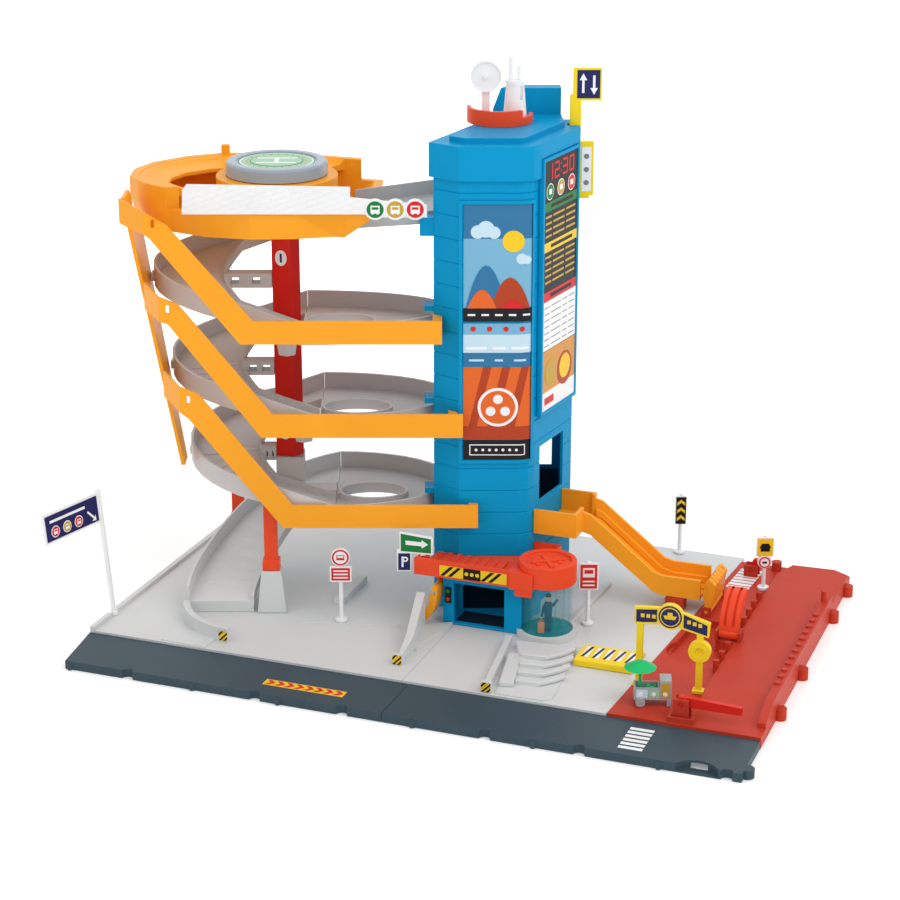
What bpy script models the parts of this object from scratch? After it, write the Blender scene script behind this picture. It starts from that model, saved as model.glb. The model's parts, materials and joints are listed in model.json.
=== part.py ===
"""A toy parking garage: a road base with a pier, a lift tower, a spiral track and a slide.

Metres, +Z up. The origin is the middle of the base, on the surface that the garage stands on.
X runs along the front edge and Y to the back. The tower and the spiral stand turned on the base.
Points of the tower and the spiral are (u, v), measured from the tower's front left corner.
"""
import math

import bmesh
import bpy
from mathutils import Matrix, Vector

# Clearances and walls
GAP = 0.0003
RUNNING_GAP = 0.0012
WALL = 0.002
PIN_RADIUS = 0.0016

# Base
BASE_LEFT = -0.257
BASE_RIGHT = 0.256
BASE_FRONT = -0.181
BASE_BACK = 0.183
ROAD_DEPTH = 0.052
ROAD_HEIGHT = 0.0065
ROAD_SEAM = 0.0
ROAD_SLANT = 0.008
PLATE_HEIGHT = 0.008
PLATE_SEAM = -0.005
EDGE_RIM = 0.004
EDGE_RIM_HEIGHT = 0.003
BOSS_RADIUS = 0.006
LEFT_BOSSES = ((-0.20, -0.06), (-0.20, 0.13), (-0.06, 0.13))
RIGHT_BOSSES = ((0.03, -0.08), (0.04, 0.14), (0.12, 0.02), (0.003, 0.0))
NOTCH_RADIUS = 0.004
LEFT_NOTCHES = (-0.198, -0.097, -0.030)
RIGHT_NOTCHES = (0.076, 0.1435, 0.2455)
CLIP_RADIUS = 0.002
LEFT_CLIPS = (-0.245, -0.146, -0.079)
RIGHT_CLIPS = (0.023, 0.111, 0.199)
CORNER_KNOB = (0.2570, -0.1710, 0.0050)
DRAIN_CENTRE = 0.225
DRAIN_RADIUS = 0.017
DRAIN_REACH = 0.009

# Curbs and steps on the base
CURB_WIDTH = 0.005
CURB_HEIGHT = 0.011
CURB_CENTRE = (-0.148, -0.052)
CURB_RADIUS = 0.062
CURB_FROM = 203.0
CURB_TO = 268.0
GUARD_STATIONS = ((-0.102, -0.0195, -0.0165, 0.013), (-0.080, -0.0215, -0.0156, 0.020),
                  (-0.0352, -0.0305, -0.0236, 0.036))
APRON_LEFT = ((-0.0165, -0.079), (-0.0130, -0.079), (-0.0056, -0.0246), (-0.0235, -0.0352))
APRON_RIGHT = ((0.057, -0.123), (0.045, -0.040))
APRON_CURB = 0.0045
APRON_CURB_HEIGHT = 0.006
APRON_LOW_HEIGHT = 0.0025
STEP_SLAB = ((0.0520, -0.0450), (0.0520, -0.0600), (0.0646, -0.1269), (0.1000, -0.1265), (0.1050, -0.1220),
             (0.1010, -0.0750), (0.0970, -0.0400))
STEP_LINES = (((0.0725, -0.1084), (0.0897, -0.1070), (0.1021, -0.0897)),
              ((0.0700, -0.0964), (0.0874, -0.0948), (0.1009, -0.0745)),
              ((0.0674, -0.0842), (0.0851, -0.0825), (0.0995, -0.0616)),
              ((0.0638, -0.0708), (0.0828, -0.0703), (0.0966, -0.0492)))
STEP_RISE = 0.001

# Pier
PIER_BORDER = 0.147
PIER_LEAN = 0.0702
PIER_BACK = 0.174
PIER_SLAB = 0.0085
WALKWAY_LEFT = 0.203
WALKWAY_TOP = 0.013
WALKWAY_FRONT = -0.070
WALKWAY_TOE = -0.118
PARAPET_WIDTH = 0.006
PARAPET_TOP = 0.020
PARAPET_FRONT = -0.115
PARAPET_RISE = -0.0925
PARAPET_BACK = 0.104
PILE_RADIUS = 0.0024
PILE_TOP = 0.0215
PILE_LINE = 0.2518
PILE_BACK = 0.062
PILE_PITCH = 0.01155
RIGHT_PILES = 12
TALL_PILE = (0.092, 0.028)
LANE_PILES = (-0.0372, -0.0206, -0.004, 0.0453, 0.0618, 0.0783, 0.0955)
LANE_PILE_LINE = 0.2012
LANE_PILE_TOP = 0.018
DOCK_FRONT = -0.008
DOCK_BACK = 0.050
DOCK_WALL = 0.0045
DOCK_RIGHT = 0.197
DOCK_FLOOR = 0.0035
DOCK_STEP = 0.0055
LUG_RADIUS = 0.0045
LUG_REACH = 0.0065
PIER_LUGS = (-0.0785, -0.0085, 0.1003, 0.1545)
LANDING = ((0.203, 0.150), (0.256, 0.150), (0.256, 0.1645), (0.244, 0.1720), (0.211, 0.1705))
LANDING_KNOB = (0.1987, 0.1660, 0.004, 0.016)
U_FRAME = ((0.190, 0.208), (-0.1275, -0.1205), 0.0015, 0.0125)

# Entrance
DOOR_LEFT = -0.005
DOOR_RIGHT = 0.035
DOOR_LEFT_POST = 0.0085
DOOR_RIGHT_POST = 0.014
DOOR_FRONT = -0.024
DOOR_TOP = 0.042
CANOPY_BOTTOM = 0.049
CANOPY_TOP = 0.062
CANOPY_DECK = 0.0545
CANOPY_OUTLINE = ((-0.0334, -0.0330), (0.0430, -0.0330), (0.0430, -0.0360), (0.0610, -0.0360),
                  (0.0620, 0.0300), (0.0400, 0.0300), (0.0100, 0.0100), (-0.0280, 0.0000), (-0.0290, -0.0110))
CANOPY_WELL = ((-0.0290, 0.0405), (-0.0305, 0.0600))
CANOPY_REAR_WELL = ((0.0400, 0.0600), (-0.0100, 0.0280))
CANOPY_UNDER = ((-0.0245, 0.0405), (-0.0305, 0.0600), 0.0525)
CANOPY_RIB_PITCH = 0.0075
CANOPY_RIB = 0.003
BOOTH_CENTRE = (0.0655, -0.0135)
BOOTH_RADIUS = 0.019
BOOTH_WALL = 0.0012
BOOTH_FLOOR_RADIUS = 0.019
BOOTH_FLOOR_TOP = 0.012
BOOTH_RING = (0.023, 0.013)
BOOTH_ROOF_BOTTOM = 0.051
BOOTH_ROOF_TOP = 0.0675
BOOTH_ROOF_RADIUS = 0.0215
BOOTH_ROOF_RIM = 0.004
BOOTH_ROOF_DISH = 0.0022

# Tower
TOWER_CORNER = (-0.0096, -0.0001)
TOWER_TURN = 20.6
TOWER_FRONT = 0.045
TOWER_ROUND = ((0.0515, 0.0022), (0.056, 0.008))
TOWER_SIDE = (0.087, 0.068)
TOWER_BACK_RIGHT = 0.085
TOWER_DEPTH = 0.112
TOWER_FACET = (-0.019, 0.015)
TOWER_BACK_LEFT = 0.031
TOWER_WALL = 0.0022
TOWER_TOP = 0.343
TOWER_SPLIT = 0.098
CAP_OUTSET = 0.0028
CAP_TOP = 0.3685
CAP_STEP = 0.009
CAP_STEP_TOP = 0.3725
HOOD_FROM = (0.0250, 0.0310)
HOOD_TO = 0.0765
HOOD_TOP = 0.392
SHAFT_DOOR = (0.037, 0.083)
SHAFT_DOOR_HEIGHT = 0.036
GROUND_DOOR = (0.003, 0.043)
GROUND_DOOR_TOP = 0.042
SIDE_DOOR = (0.092, 0.136)
SIDE_DOOR_SPAN = (0.010, 0.052)
LEDGE_REACH = 0.007
LEDGE_HEIGHT = 0.004
LEDGE_SPAN = (0.016, 0.030)
BRACKET_BOTTOM = 0.299
BRACKET_TOP = 0.3125
BRACKET_REACH = 0.010
POSTER_BOTTOM = 0.129
POSTER_TOP = 0.329
POSTER_BORDER = 0.0025
POSTER_PROUD = 0.0014
BOARD_BOTTOM = 0.162
BOARD_TOP = 0.357
BOARD_SPAN = (0.002, 0.065)
BOARD_PROUD = 0.0045
BOARD_BORDER = 0.0025
BOARD_RECESS = 0.0012
WINDOW_SPAN = (0.038, 0.074)
WINDOW_HEIGHT = 0.034

# Lift
LIFT_TOP = 0.3125
LIFT_THICK = 0.003
LIFT_LIP = 0.003
HANDLE_ARM = 0.004
HANDLE_MIDDLE = 0.078
HANDLE_WIDTH = 0.007
HANDLE_SPAN = (HANDLE_MIDDLE - HANDLE_WIDTH / 2, HANDLE_MIDDLE + HANDLE_WIDTH / 2)
HANDLE_INNER = 0.0892
GRIP = (0.3150, 0.3560)
GRIP_OUTER = 0.1005
BAR_TOP = 0.391
HANDLE_BAR = (0.0820, 0.0905)
FLAG = (0.3865, 0.411)
FLAG_OUTER = 0.1055
FLAG_THICK = 0.003

# Roof pieces
ROOF_CENTRE = (0.030, 0.070)
CRESCENT_RADIUS = 0.0245
CRESCENT_WALL = 0.003
CRESCENT_TOP = 0.384
CRESCENT_LOW = 0.3785
CRESCENT_FLOOR = 0.003
MAST = (0.0195, 0.069)
MAST_WIDTH = 0.0062
MAST_THICK = 0.004
MAST_TOP = 0.401
DISH_HEIGHT = 0.4065
DISH_RADIUS = 0.0116
DISH_THICK = 0.0028
CONTROL = (0.0410, 0.068)
CONTROL_FOOT = 0.0088
CONTROL_HEAD = 0.0064
CONTROL_TOP = 0.4035
ANTENNA_TOP = 0.4205
SHORT_ANTENNA_TOP = 0.414
ANTENNA_RADIUS = 0.0019

# Spiral track
LEVEL_1 = 0.084
PITCH = 0.0685
TRACK_MIDDLE = 0.057
TRACK_THICK = 0.003
TRACK_RIM = 0.0125
TRACK_CURB = 0.0045
TRACK_HOLE = 0.012
TRACK_HALF = (0.0615, 0.055, 0.0485, 0.042)
TRACK_SEAM = (-0.094, -0.1055, -0.117, -0.1285)
TRACK_LEFT = (-0.206, -0.2175, -0.229)
TRACK_END = 0.066
TRACK_STEPS = 16
PLATFORM_REACH = -0.006
PLATFORM_STEPS = 20
TONGUE = (0.040, 0.074)
RING_OFFSET = 0.028
RING_SIZE = (0.025, 0.016)
RING_BACK = 0.007
RING_WALL = 0.002
RING_HEIGHT = 0.005
LINK_SPAN = (0.051, 0.063)
LINK_HEIGHT = 0.011
LINK_WINDOW = 0.006
KNUCKLE_DROP = 0.015
KNUCKLE_HALF = 0.010
COLUMN = ((-0.1400, 0.0510), (-0.1260, 0.0480), (-0.1195, 0.0560), (-0.1200, 0.0660), (-0.1400, 0.0660))
COLUMN_FOOT = 0.117
FOOT_BLOCK_HALF = 0.0105
EXIT_OUTER = (0.113, 0.1185)
EXIT_INNER = (0.062, 0.069)
EXIT_BOW = 0.013
EXIT_TOE = 0.017
EXIT_STEPS = 14

# Fin and arms
FIN_THICK = 0.003
FIN_FRONT = 0.0203
FIN_BOTTOM = 0.120
FIN_BOTTOM_U = -0.2099
FIN_SLOPE = 0.1765
FIN_BOTTOM_BACK = 0.038
FIN_TOP_BACK = 0.068
FIN_HORN_BACK = 0.048
FIN_HORN_TOP = 0.326
ARM_FRONT = -0.0095
ARM_THICK = 0.003
ARM_NAMES = ("arm_low", "arm_middle", "arm_top")
ARM_ENDS = (0.0141, 0.0027, -0.0127)
ARM_LEVELS = ((0.0805, 0.0985), (0.1520, 0.1700), (0.2240, 0.2415))
ARM_KINKS = ((-0.1318, -0.1246), (-0.1464, -0.1378), (-0.1600, -0.1502))
ARM_KNEES = ((-0.1993, 0.1666, -0.1912, 0.1853), (-0.2118, 0.2390, -0.2040, 0.2541),
             (-0.2225, 0.3030, -0.2096, 0.3123))
ARM_WRAPS = ((-0.2205, 0.1758, 0.1954), (-0.2320, 0.2433, 0.2639), (-0.2475, 0.3080, 0.3265))
ARM_SLOT = (0.0025, 0.006)
ARM_TAB = 0.007

# Deck
DECK_BOTTOM = 0.297
DECK_FLOOR = 0.300
DECK_FRONT_TOP = 0.316
DECK_RIM_TOP = 0.332
DECK_RIM = 0.007
DECK_FOOT_LINE = ((-0.084, 0.0180), (-0.090, 0.0205), (-0.118, 0.014), (-0.152, 0.012), (-0.185, 0.020),
                  (-0.209, 0.034), (-0.228, 0.048), (-0.239, 0.068), (-0.238, 0.090), (-0.228, 0.112),
                  (-0.205, 0.133), (-0.180, 0.144), (-0.150, 0.144), (-0.105, 0.134), (-0.084, 0.1265))
DECK_TOP_LINE = ((-0.058, 0.0125), (-0.080, 0.0125), (-0.118, 0.0125), (-0.152, 0.0120), (-0.190, 0.0125),
                 (-0.2115, 0.026), (-0.232, 0.044), (-0.2455, 0.067), (-0.245, 0.092), (-0.234, 0.116),
                 (-0.210, 0.138), (-0.182, 0.150), (-0.150, 0.150), (-0.104, 0.140), (-0.058, 0.1245))
DECK_HOLE = (-0.186, -0.150, 0.073, 0.101)
HELIPAD_CENTRE = (-0.136, 0.072)
HELIPAD_RADIUS = 0.038
HELIPAD_BOTTOM = 0.333
HELIPAD_TOP = 0.342
HELIPAD_HUB = 0.011
HELIPAD_RING = 0.030
HELIPAD_PIN = 0.004
DECK_KNOB = (-0.181, 0.1455)
KNOB_RADIUS = 0.0035
KNOB_TOP = 0.339
PARAPET_LEFT = -0.201
PARAPET_STEP = -0.079
PARAPET_END = -0.0235
PARAPET_LINE = 0.0105
PARAPET_THICK = 0.0032
PARAPET_HEIGHT = 0.337
STRIP_BREAK = -0.0565
STRIP_BOTTOM = 0.3140
BADGE_RADIUS = 0.0078
BADGE_MIDDLE = 0.3200
BADGE_PROUD = 0.0005
BADGES = (-0.061, -0.0465, -0.032)
BRIDGE_LEFT = -0.0790
BRIDGE_LEFT_TOP = 0.3035
BRIDGE_RIGHT_TOP = 0.3115
BRIDGE_FRONT = 0.031
BRIDGE_BACK = 0.098
BRIDGE_GUARD = 0.011

# Legs
FRONT_LEG = (-0.1425, 0.005)
FRONT_PEDESTAL_TOP = 0.042
REAR_LEG = (-0.176, 0.106)
REAR_PEDESTAL_TOP = 0.040
PEDESTAL_FOOT = (0.0110, 0.0075)
PEDESTAL_HEAD = (0.0075, 0.0065)
LEG_HALF = (0.005, 0.0045)
LEG_SOCKET = 0.004

# Slide
SLIDE_BOX = (0.0405, 0.0745, 0.0265, 0.0790)
SLIDE_FLOOR = 0.0725
SLIDE_WALL_TOP = 0.089
SLIDE_STATIONS = ((0.0740, 0.0590, 0.0725), (0.0800, 0.0610, 0.0700), (0.1270, 0.0740, 0.0250),
                  (0.1340, 0.0755, 0.0225), (0.1630, 0.0780, 0.0215))
SLIDE_HALF = 0.0170
SLIDE_SIDE = 0.0135
SLIDE_THICK = 0.0025
SLIDE_FOOT = (0.1435, 0.064)
SLIDE_FOOT_HALF = 0.007
GATE_PIVOT = (0.1695, 0.0765, 0.0125)
GATE_HALF = 0.0185
GATE_TOP = 0.038
GATE_BAR = 0.003
GATE_RIBS = 6
GATE_RIB_DEPTH = 0.005

# Dock pieces
ARCH_LEFT = (0.1552, -0.0775)
ARCH_RIGHT = (0.1980, -0.0745)
ARCH_THICK = 0.003
ARCH_LEG = 0.0045
ARCH_LEFT_TOP = 0.069
ARCH_LEFT_UNDER = 0.056
ARCH_RIGHT_TOP = 0.0625
ARCH_RIGHT_UNDER = 0.0515
ARCH_DISC = 0.0095
ARCH_DISC_HEIGHT = 0.0645
RING_LIFE_RADIUS = 0.008
RING_LIFE_HEIGHT = 0.0405
HUMP = (0.102, 0.1455, -0.062, -0.025)
HUMP_TOP = 0.014
BARRIER_PIVOT = (0.1975, -0.1165, 0.020)
BARRIER_HUB = 0.0045
BARRIER_ARM = 0.042
BARRIER_ARM_HALF = 0.0028
BARRIER_WIDTH = 0.0055
CHEEK = 0.002
CHEEK_LENGTH = 0.011
REAR_PIVOT = (0.1825, 0.1495, 0.0145)
REAR_ARM = 0.0085
REAR_WIDTH = 0.005
LEVER_PIVOT = (0.1980, 0.0130, 0.0170)
LEVER_ALONG_X = True
LEVER_SEAT = ((0.1885, 0.2060), (0.0080, 0.0180), 0.0125)
LEVER_WIDTH = 0.0145
LEVER_RADIUS = 0.0290
LEVER_THICK = 0.0060
LEVER_SWEEP = (180.0, 97.0)
SCOOP_PIVOT = (-0.0167, -0.0270, 0.0395)
SCOOP_RADII = (0.015, 0.0285)
SCOOP_HUB = 0.0025
SCOOP_WIDTH = 0.014
SCOOP_WALL = 0.0018
SCOOP_SIDE = 0.006

# Cart
CART = (0.1720, -0.1020)
CART_TURN = 18.0
CART_LENGTH = 0.026
CART_WIDTH = 0.0125
CART_BOTTOM = 0.0135
CART_TOP = 0.0225
CART_BACK_TOP = 0.028
CART_BACK_LENGTH = 0.008
CART_WELL = 0.005
WHEEL_RADIUS = 0.0034
WHEEL_WIDTH = 0.002
AXLE_RADIUS = 0.0009
AXLE_INSET = 0.0045
UMBRELLA_RADIUS = 0.0115
UMBRELLA_EDGE = 0.0355
UMBRELLA_TOP = 0.0410
UMBRELLA_POLE = 0.0011
UMBRELLA_SET = (-0.0088, 0.0)

# Signs: foot x, foot y, foot height, pole top, plates as (centre height, half width, half height, round)
SIGN_THICK = 0.0022
POLE_RADIUS = 0.0016
SIGN_FOOT = 0.0046
SIGN_FOOT_HEIGHT = 0.002
SIGNS = {
    "bus_sign": (-0.087, -0.047, PLATE_HEIGHT, 0.064,
                 ((0.047, 0.0082, 0.0062, False), (0.0605, 0.0072, 0.0072, True))),
    "red_sign": (0.089, 0.013, PLATE_HEIGHT, 0.059, ((0.0475, 0.0075, 0.0108, False),)),
    "chevron_sign": (0.116, 0.176, PLATE_HEIGHT, 0.059, ((0.0455, 0.0046, 0.0120, False),)),
    "dock_sign": (0.1975, 0.1245, PIER_SLAB, 0.0535,
                  ((0.0445, 0.0066, 0.0078, False), (0.0325, 0.0056, 0.0056, True))),
}
LEFT_SIGN = (-0.2542, -0.097)
LEFT_SIGN_LEAN = 6.0
LEFT_SIGN_TURN = 13.0
LEFT_SIGN_LENGTH = 0.061
LEFT_SIGN_BOTTOM = 0.0835
LEFT_SIGN_TOP = 0.106
PARKING_SIGN = (-0.0315, -0.0275)
PARKING_ROUTE = (0.0655, 0.0815, 0.0135, -0.0085)
PARKING_PLATE = (0.0500, 0.0655, 0.0055)

COLOURS = {
    "cool_grey": ((0.612, 0.631, 0.624), 0.45), "slate": ((0.070, 0.107, 0.130), 0.45),
    "pier_red": ((0.578, 0.080, 0.042), 0.50), "tower_blue": ((0.0, 0.300, 0.578), 0.35),
    "orange": ((0.940, 0.380, 0.030), 0.38), "yellow": ((0.913, 0.658, 0.026), 0.40),
    "track_grey": ((0.578, 0.546, 0.527), 0.45), "red": ((0.680, 0.030, 0.010), 0.38),
    "coral": ((0.831, 0.080, 0.026), 0.40), "white": ((0.831, 0.831, 0.847), 0.40),
    "silver": ((0.376, 0.456, 0.515), 0.35), "bridge_grey": ((0.456, 0.470, 0.470), 0.45),
    "green": ((0.007, 0.515, 0.156), 0.40), "clear_teal": ((0.045, 0.376, 0.456), 0.10),
    "teal": ((0.0, 0.223, 0.223), 0.35), "cart_grey": ((0.376, 0.386, 0.402), 0.40),
}


def reset():
    """Empty the scene and make the two collections and the turned frame of the tower."""
    for item in list(bpy.data.objects):
        bpy.data.objects.remove(item, do_unlink=True)
    for name in ("parking_garage", "cutters"):
        group = bpy.data.collections.new(name)
        bpy.context.scene.collection.children.link(group)
    frame = bpy.data.objects.new("tower_frame", None)
    frame.location = (TOWER_CORNER[0], TOWER_CORNER[1], 0.0)
    frame.rotation_euler = (0.0, 0.0, math.radians(TOWER_TURN))
    bpy.data.collections["parking_garage"].objects.link(frame)
    for name, (colour, roughness) in COLOURS.items():
        finish = bpy.data.materials.new(name)
        finish.use_nodes = True
        shader = finish.node_tree.nodes["Principled BSDF"]
        shader.inputs["Base Color"].default_value = (*colour, 1.0)
        shader.inputs["Roughness"].default_value = roughness
        shader.inputs["Metallic"].default_value = 0.0
        finish.diffuse_color = (*colour, 1.0)
    bpy.context.view_layer.update()
    return frame


def tower_matrix():
    """The matrix that takes (u, v, z) of the turned frame to the base's own frame."""
    place = Matrix.Translation((TOWER_CORNER[0], TOWER_CORNER[1], 0.0))
    return place @ Matrix.Rotation(math.radians(TOWER_TURN), 4, "Z")


def on_base(u, v):
    """A plan point of the turned frame, in the base's frame."""
    point = tower_matrix() @ Vector((u, v, 0.0))
    return point.x, point.y


def in_tower(x, y):
    """A plan point of the base's frame, in the turned frame."""
    point = tower_matrix().inverted() @ Vector((x, y, 0.0))
    return point.x, point.y


def placed(shape, matrix):
    bmesh.ops.transform(shape, matrix=matrix, verts=shape.verts)
    return shape


def prism(outline, low, high):
    """A flat outline lifted from one height to another."""
    shape = bmesh.new()
    corners = [shape.verts.new((x, y, low)) for x, y in outline]
    shape.faces.new(corners)
    lifted = bmesh.ops.extrude_face_region(shape, geom=shape.faces[:])
    top = [item for item in lifted["geom"] if isinstance(item, bmesh.types.BMVert)]
    bmesh.ops.translate(shape, verts=top, vec=(0.0, 0.0, high - low))
    bmesh.ops.recalc_face_normals(shape, faces=shape.faces[:])
    return shape


def upright(outline, near, far):
    """An outline in (x, z) drawn from y = near to y = far."""
    return placed(prism(outline, -far, -near), Matrix.Rotation(math.radians(90.0), 4, "X"))


def side_on(outline, left, right):
    """An outline in (y, z) drawn from x = left to x = right."""
    turn = Matrix(((0, 0, 1, 0), (1, 0, 0, 0), (0, 1, 0, 0), (0, 0, 0, 1)))
    return placed(prism(outline, left, right), turn)


def box(x_span, y_span, z_span):
    """A block between two values on each axis."""
    shape = bmesh.new()
    bmesh.ops.create_cube(shape, size=1.0)
    sizes = [span[1] - span[0] for span in (x_span, y_span, z_span)]
    middle = [(span[1] + span[0]) / 2 for span in (x_span, y_span, z_span)]
    return placed(shape, Matrix.Translation(middle) @ Matrix.Diagonal((*sizes, 1.0)))


def cone(centre, low, high, low_radius, high_radius, sides=24):
    """A round or many-sided post whose radius changes from its foot to its head."""
    shape = bmesh.new()
    bmesh.ops.create_cone(shape, cap_ends=True, segments=sides, radius1=low_radius, radius2=high_radius,
                          depth=high - low)
    return placed(shape, Matrix.Translation((centre[0], centre[1], (low + high) / 2)))


def disc(centre, radius, low, high, sides=24):
    return cone(centre, low, high, radius, radius, sides)


def rod_along_y(x, z, radius, near, far, sides=20):
    """A round bar that lies along Y."""
    bar = disc((0.0, 0.0), radius, -far, -near, sides)
    return placed(bar, Matrix.Translation((x, 0.0, z)) @ Matrix.Rotation(math.radians(90.0), 4, "X"))


def block_between(start, end, width, low, high):
    """An upright wall along a straight plan line."""
    along = Vector(end) - Vector(start)
    side = Vector((-along.y, along.x)).normalized() * (width / 2)
    corners = [Vector(start) - side, Vector(end) - side, Vector(end) + side, Vector(start) + side]
    return prism([tuple(corner) for corner in corners], low, high)


def ellipse(centre, radii, start, stop, steps):
    """Points along part of an ellipse, angles in degrees."""
    points = []
    for index in range(steps + 1):
        angle = math.radians(start + (stop - start) * index / steps)
        points.append((centre[0] + radii[0] * math.cos(angle), centre[1] + radii[1] * math.sin(angle)))
    return points


def arc_band(centre, inner, outer, start, stop, steps):
    """The outline of a curved strip between two radii."""
    far_side = ellipse(centre, (outer, outer), start, stop, steps)
    near_side = ellipse(centre, (inner, inner), stop, start, steps)
    return far_side + near_side


def inset(outline, distance):
    """A convex outline, counter-clockwise, with every edge moved inwards."""
    lines = []
    count = len(outline)
    for index in range(count):
        start = Vector(outline[index])
        along = (Vector(outline[(index + 1) % count]) - start).normalized()
        lines.append((start + Vector((-along.y, along.x)) * distance, along))
    moved = []
    for index in range(count):
        (point, along), (other, other_along) = lines[index - 1], lines[index]
        cross = along.x * other_along.y - along.y * other_along.x
        if abs(cross) < 1e-6:
            moved.append(tuple(other))
            continue
        reach = ((other.x - point.x) * other_along.y - (other.y - point.y) * other_along.x) / cross
        moved.append(tuple(point + along * reach))
    return moved


def loft(rings):
    """A solid through closed sections that have the same number of points."""
    shape = bmesh.new()
    rows = [[shape.verts.new(point) for point in ring] for ring in rings]
    for row, after in zip(rows, rows[1:]):
        for index in range(len(row)):
            following = (index + 1) % len(row)
            shape.faces.new((row[index], row[following], after[following], after[index]))
    bmesh.ops.triangulate(shape, faces=shape.faces[:])
    shape.faces.new(rows[0])
    shape.faces.new(list(reversed(rows[-1])))
    bmesh.ops.recalc_face_normals(shape, faces=shape.faces[:])
    return shape


def mesh_object(name, shapes, group, parent, pivot):
    """One mesh object that holds the given shapes, with its origin at the pivot."""
    mesh = bpy.data.meshes.new(name)
    whole = bmesh.new()
    for shape in shapes:
        part = bpy.data.meshes.new("shape")
        shape.to_mesh(part)
        shape.free()
        whole.from_mesh(part)
        bpy.data.meshes.remove(part)
    bmesh.ops.translate(whole, verts=whole.verts, vec=-Vector(pivot))
    whole.to_mesh(mesh)
    whole.free()
    item = bpy.data.objects.new(name, mesh)
    bpy.data.collections[group].objects.link(item)
    item.parent = parent
    item.location = pivot
    return item


def piece(name, finish, shapes, cuts=(), frame=None, pivot=(0.0, 0.0, 0.0), smooth=30.0):
    """One named sub-part: the shapes are joined to the first, then the cuts are taken out."""
    item = mesh_object(name, shapes[:1], "parking_garage", frame, pivot)
    item.data.materials.append(bpy.data.materials[finish])
    item.data.shade_smooth()
    item.data.set_sharp_from_angle(angle=math.radians(smooth))
    for label, tools, operation in (("joined", shapes[1:], "UNION"), ("cut", cuts, "DIFFERENCE")):
        if not tools:
            continue
        tool = mesh_object(f"{name}_{label}", tools, "cutters", frame, pivot)
        tool.hide_render = True
        tool.display_type = "WIRE"
        step = item.modifiers.new(label, "BOOLEAN")
        step.operation = operation
        step.object = tool
        step.solver = "EXACT"
        step.use_self = True
    return item


def tower_outline(outset=0.0):
    """The tower's plan, counter-clockwise from its front left corner."""
    plan = [(0.0, 0.0), (TOWER_FRONT, 0.0), *TOWER_ROUND, TOWER_SIDE, (TOWER_BACK_RIGHT, TOWER_DEPTH),
            (TOWER_BACK_LEFT, TOWER_DEPTH), TOWER_FACET]
    return inset(plan, -outset) if outset else plan


def left_wall(v):
    """Where the tower's slanted left wall stands at a depth."""
    share = (v - TOWER_FACET[1]) / (TOWER_DEPTH - TOWER_FACET[1])
    return TOWER_FACET[0] + (TOWER_BACK_LEFT - TOWER_FACET[0]) * share


def wall_shelf(left, span, low, high):
    """A block that stands out from the slanted left wall, from a given u."""
    near, far = span
    return prism([(left, near), (left_wall(near) + 0.001, near), (left_wall(far) + 0.001, far),
                  (left, far)], low, high)


def side_direction():
    """The unit vector along the tower's side wall, and the one that points out of it."""
    start = Vector(TOWER_ROUND[1])
    along = (Vector(TOWER_SIDE) - start).normalized()
    return start, along, Vector((along.y, -along.x))


def side_block(span, low, high, inner, outer):
    """A block on the tower's side wall: a span along it, heights, and distances out from its face."""
    start, along, out = side_direction()
    corners = [start + along * span[0] + out * inner, start + along * span[0] + out * outer,
               start + along * span[1] + out * outer, start + along * span[1] + out * inner]
    return prism([tuple(corner) for corner in corners], low, high)


def level(number):
    """The floor height of a level, counted from 0."""
    return LEVEL_1 + PITCH * number


def roads():
    plate_edge = BASE_FRONT + ROAD_DEPTH - GAP / 2
    spans = (("road_left", (BASE_LEFT, ROAD_SEAM - GAP / 2), ROAD_SLANT, LEFT_NOTCHES, LEFT_CLIPS),
             ("road_right", (ROAD_SEAM + GAP / 2, BASE_RIGHT - GAP), 0.0, RIGHT_NOTCHES, RIGHT_CLIPS))
    for name, (left, right), slant, notches, clip_spots in spans:
        outline = [(left + slant, BASE_FRONT), (right, BASE_FRONT), (right, plate_edge), (left, plate_edge)]
        clips = [disc((x, BASE_FRONT), CLIP_RADIUS, 0.0, ROAD_HEIGHT - 0.001, 12) for x in clip_spots]
        if not slant:
            clips.append(disc(CORNER_KNOB[:2], CORNER_KNOB[2], 0.0, ROAD_HEIGHT, 16))
        below = ROAD_HEIGHT - WALL
        cuts = [disc((x, BASE_FRONT), NOTCH_RADIUS, -0.001, ROAD_HEIGHT + 0.001, 16) for x in notches]
        pocket_left = left + slant + 2 * WALL
        cuts.append(box((pocket_left, right - WALL), (BASE_FRONT + 4 * WALL, plate_edge - WALL),
                        (-0.001, below)))
        if not slant:
            drain = (DRAIN_CENTRE, BASE_FRONT - DRAIN_RADIUS + DRAIN_REACH)
            cuts.append(disc(drain, DRAIN_RADIUS, 0.001, ROAD_HEIGHT + 0.001, 48))
        piece(name, "slate", [prism(outline, 0.0, ROAD_HEIGHT)] + clips, cuts)


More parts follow.
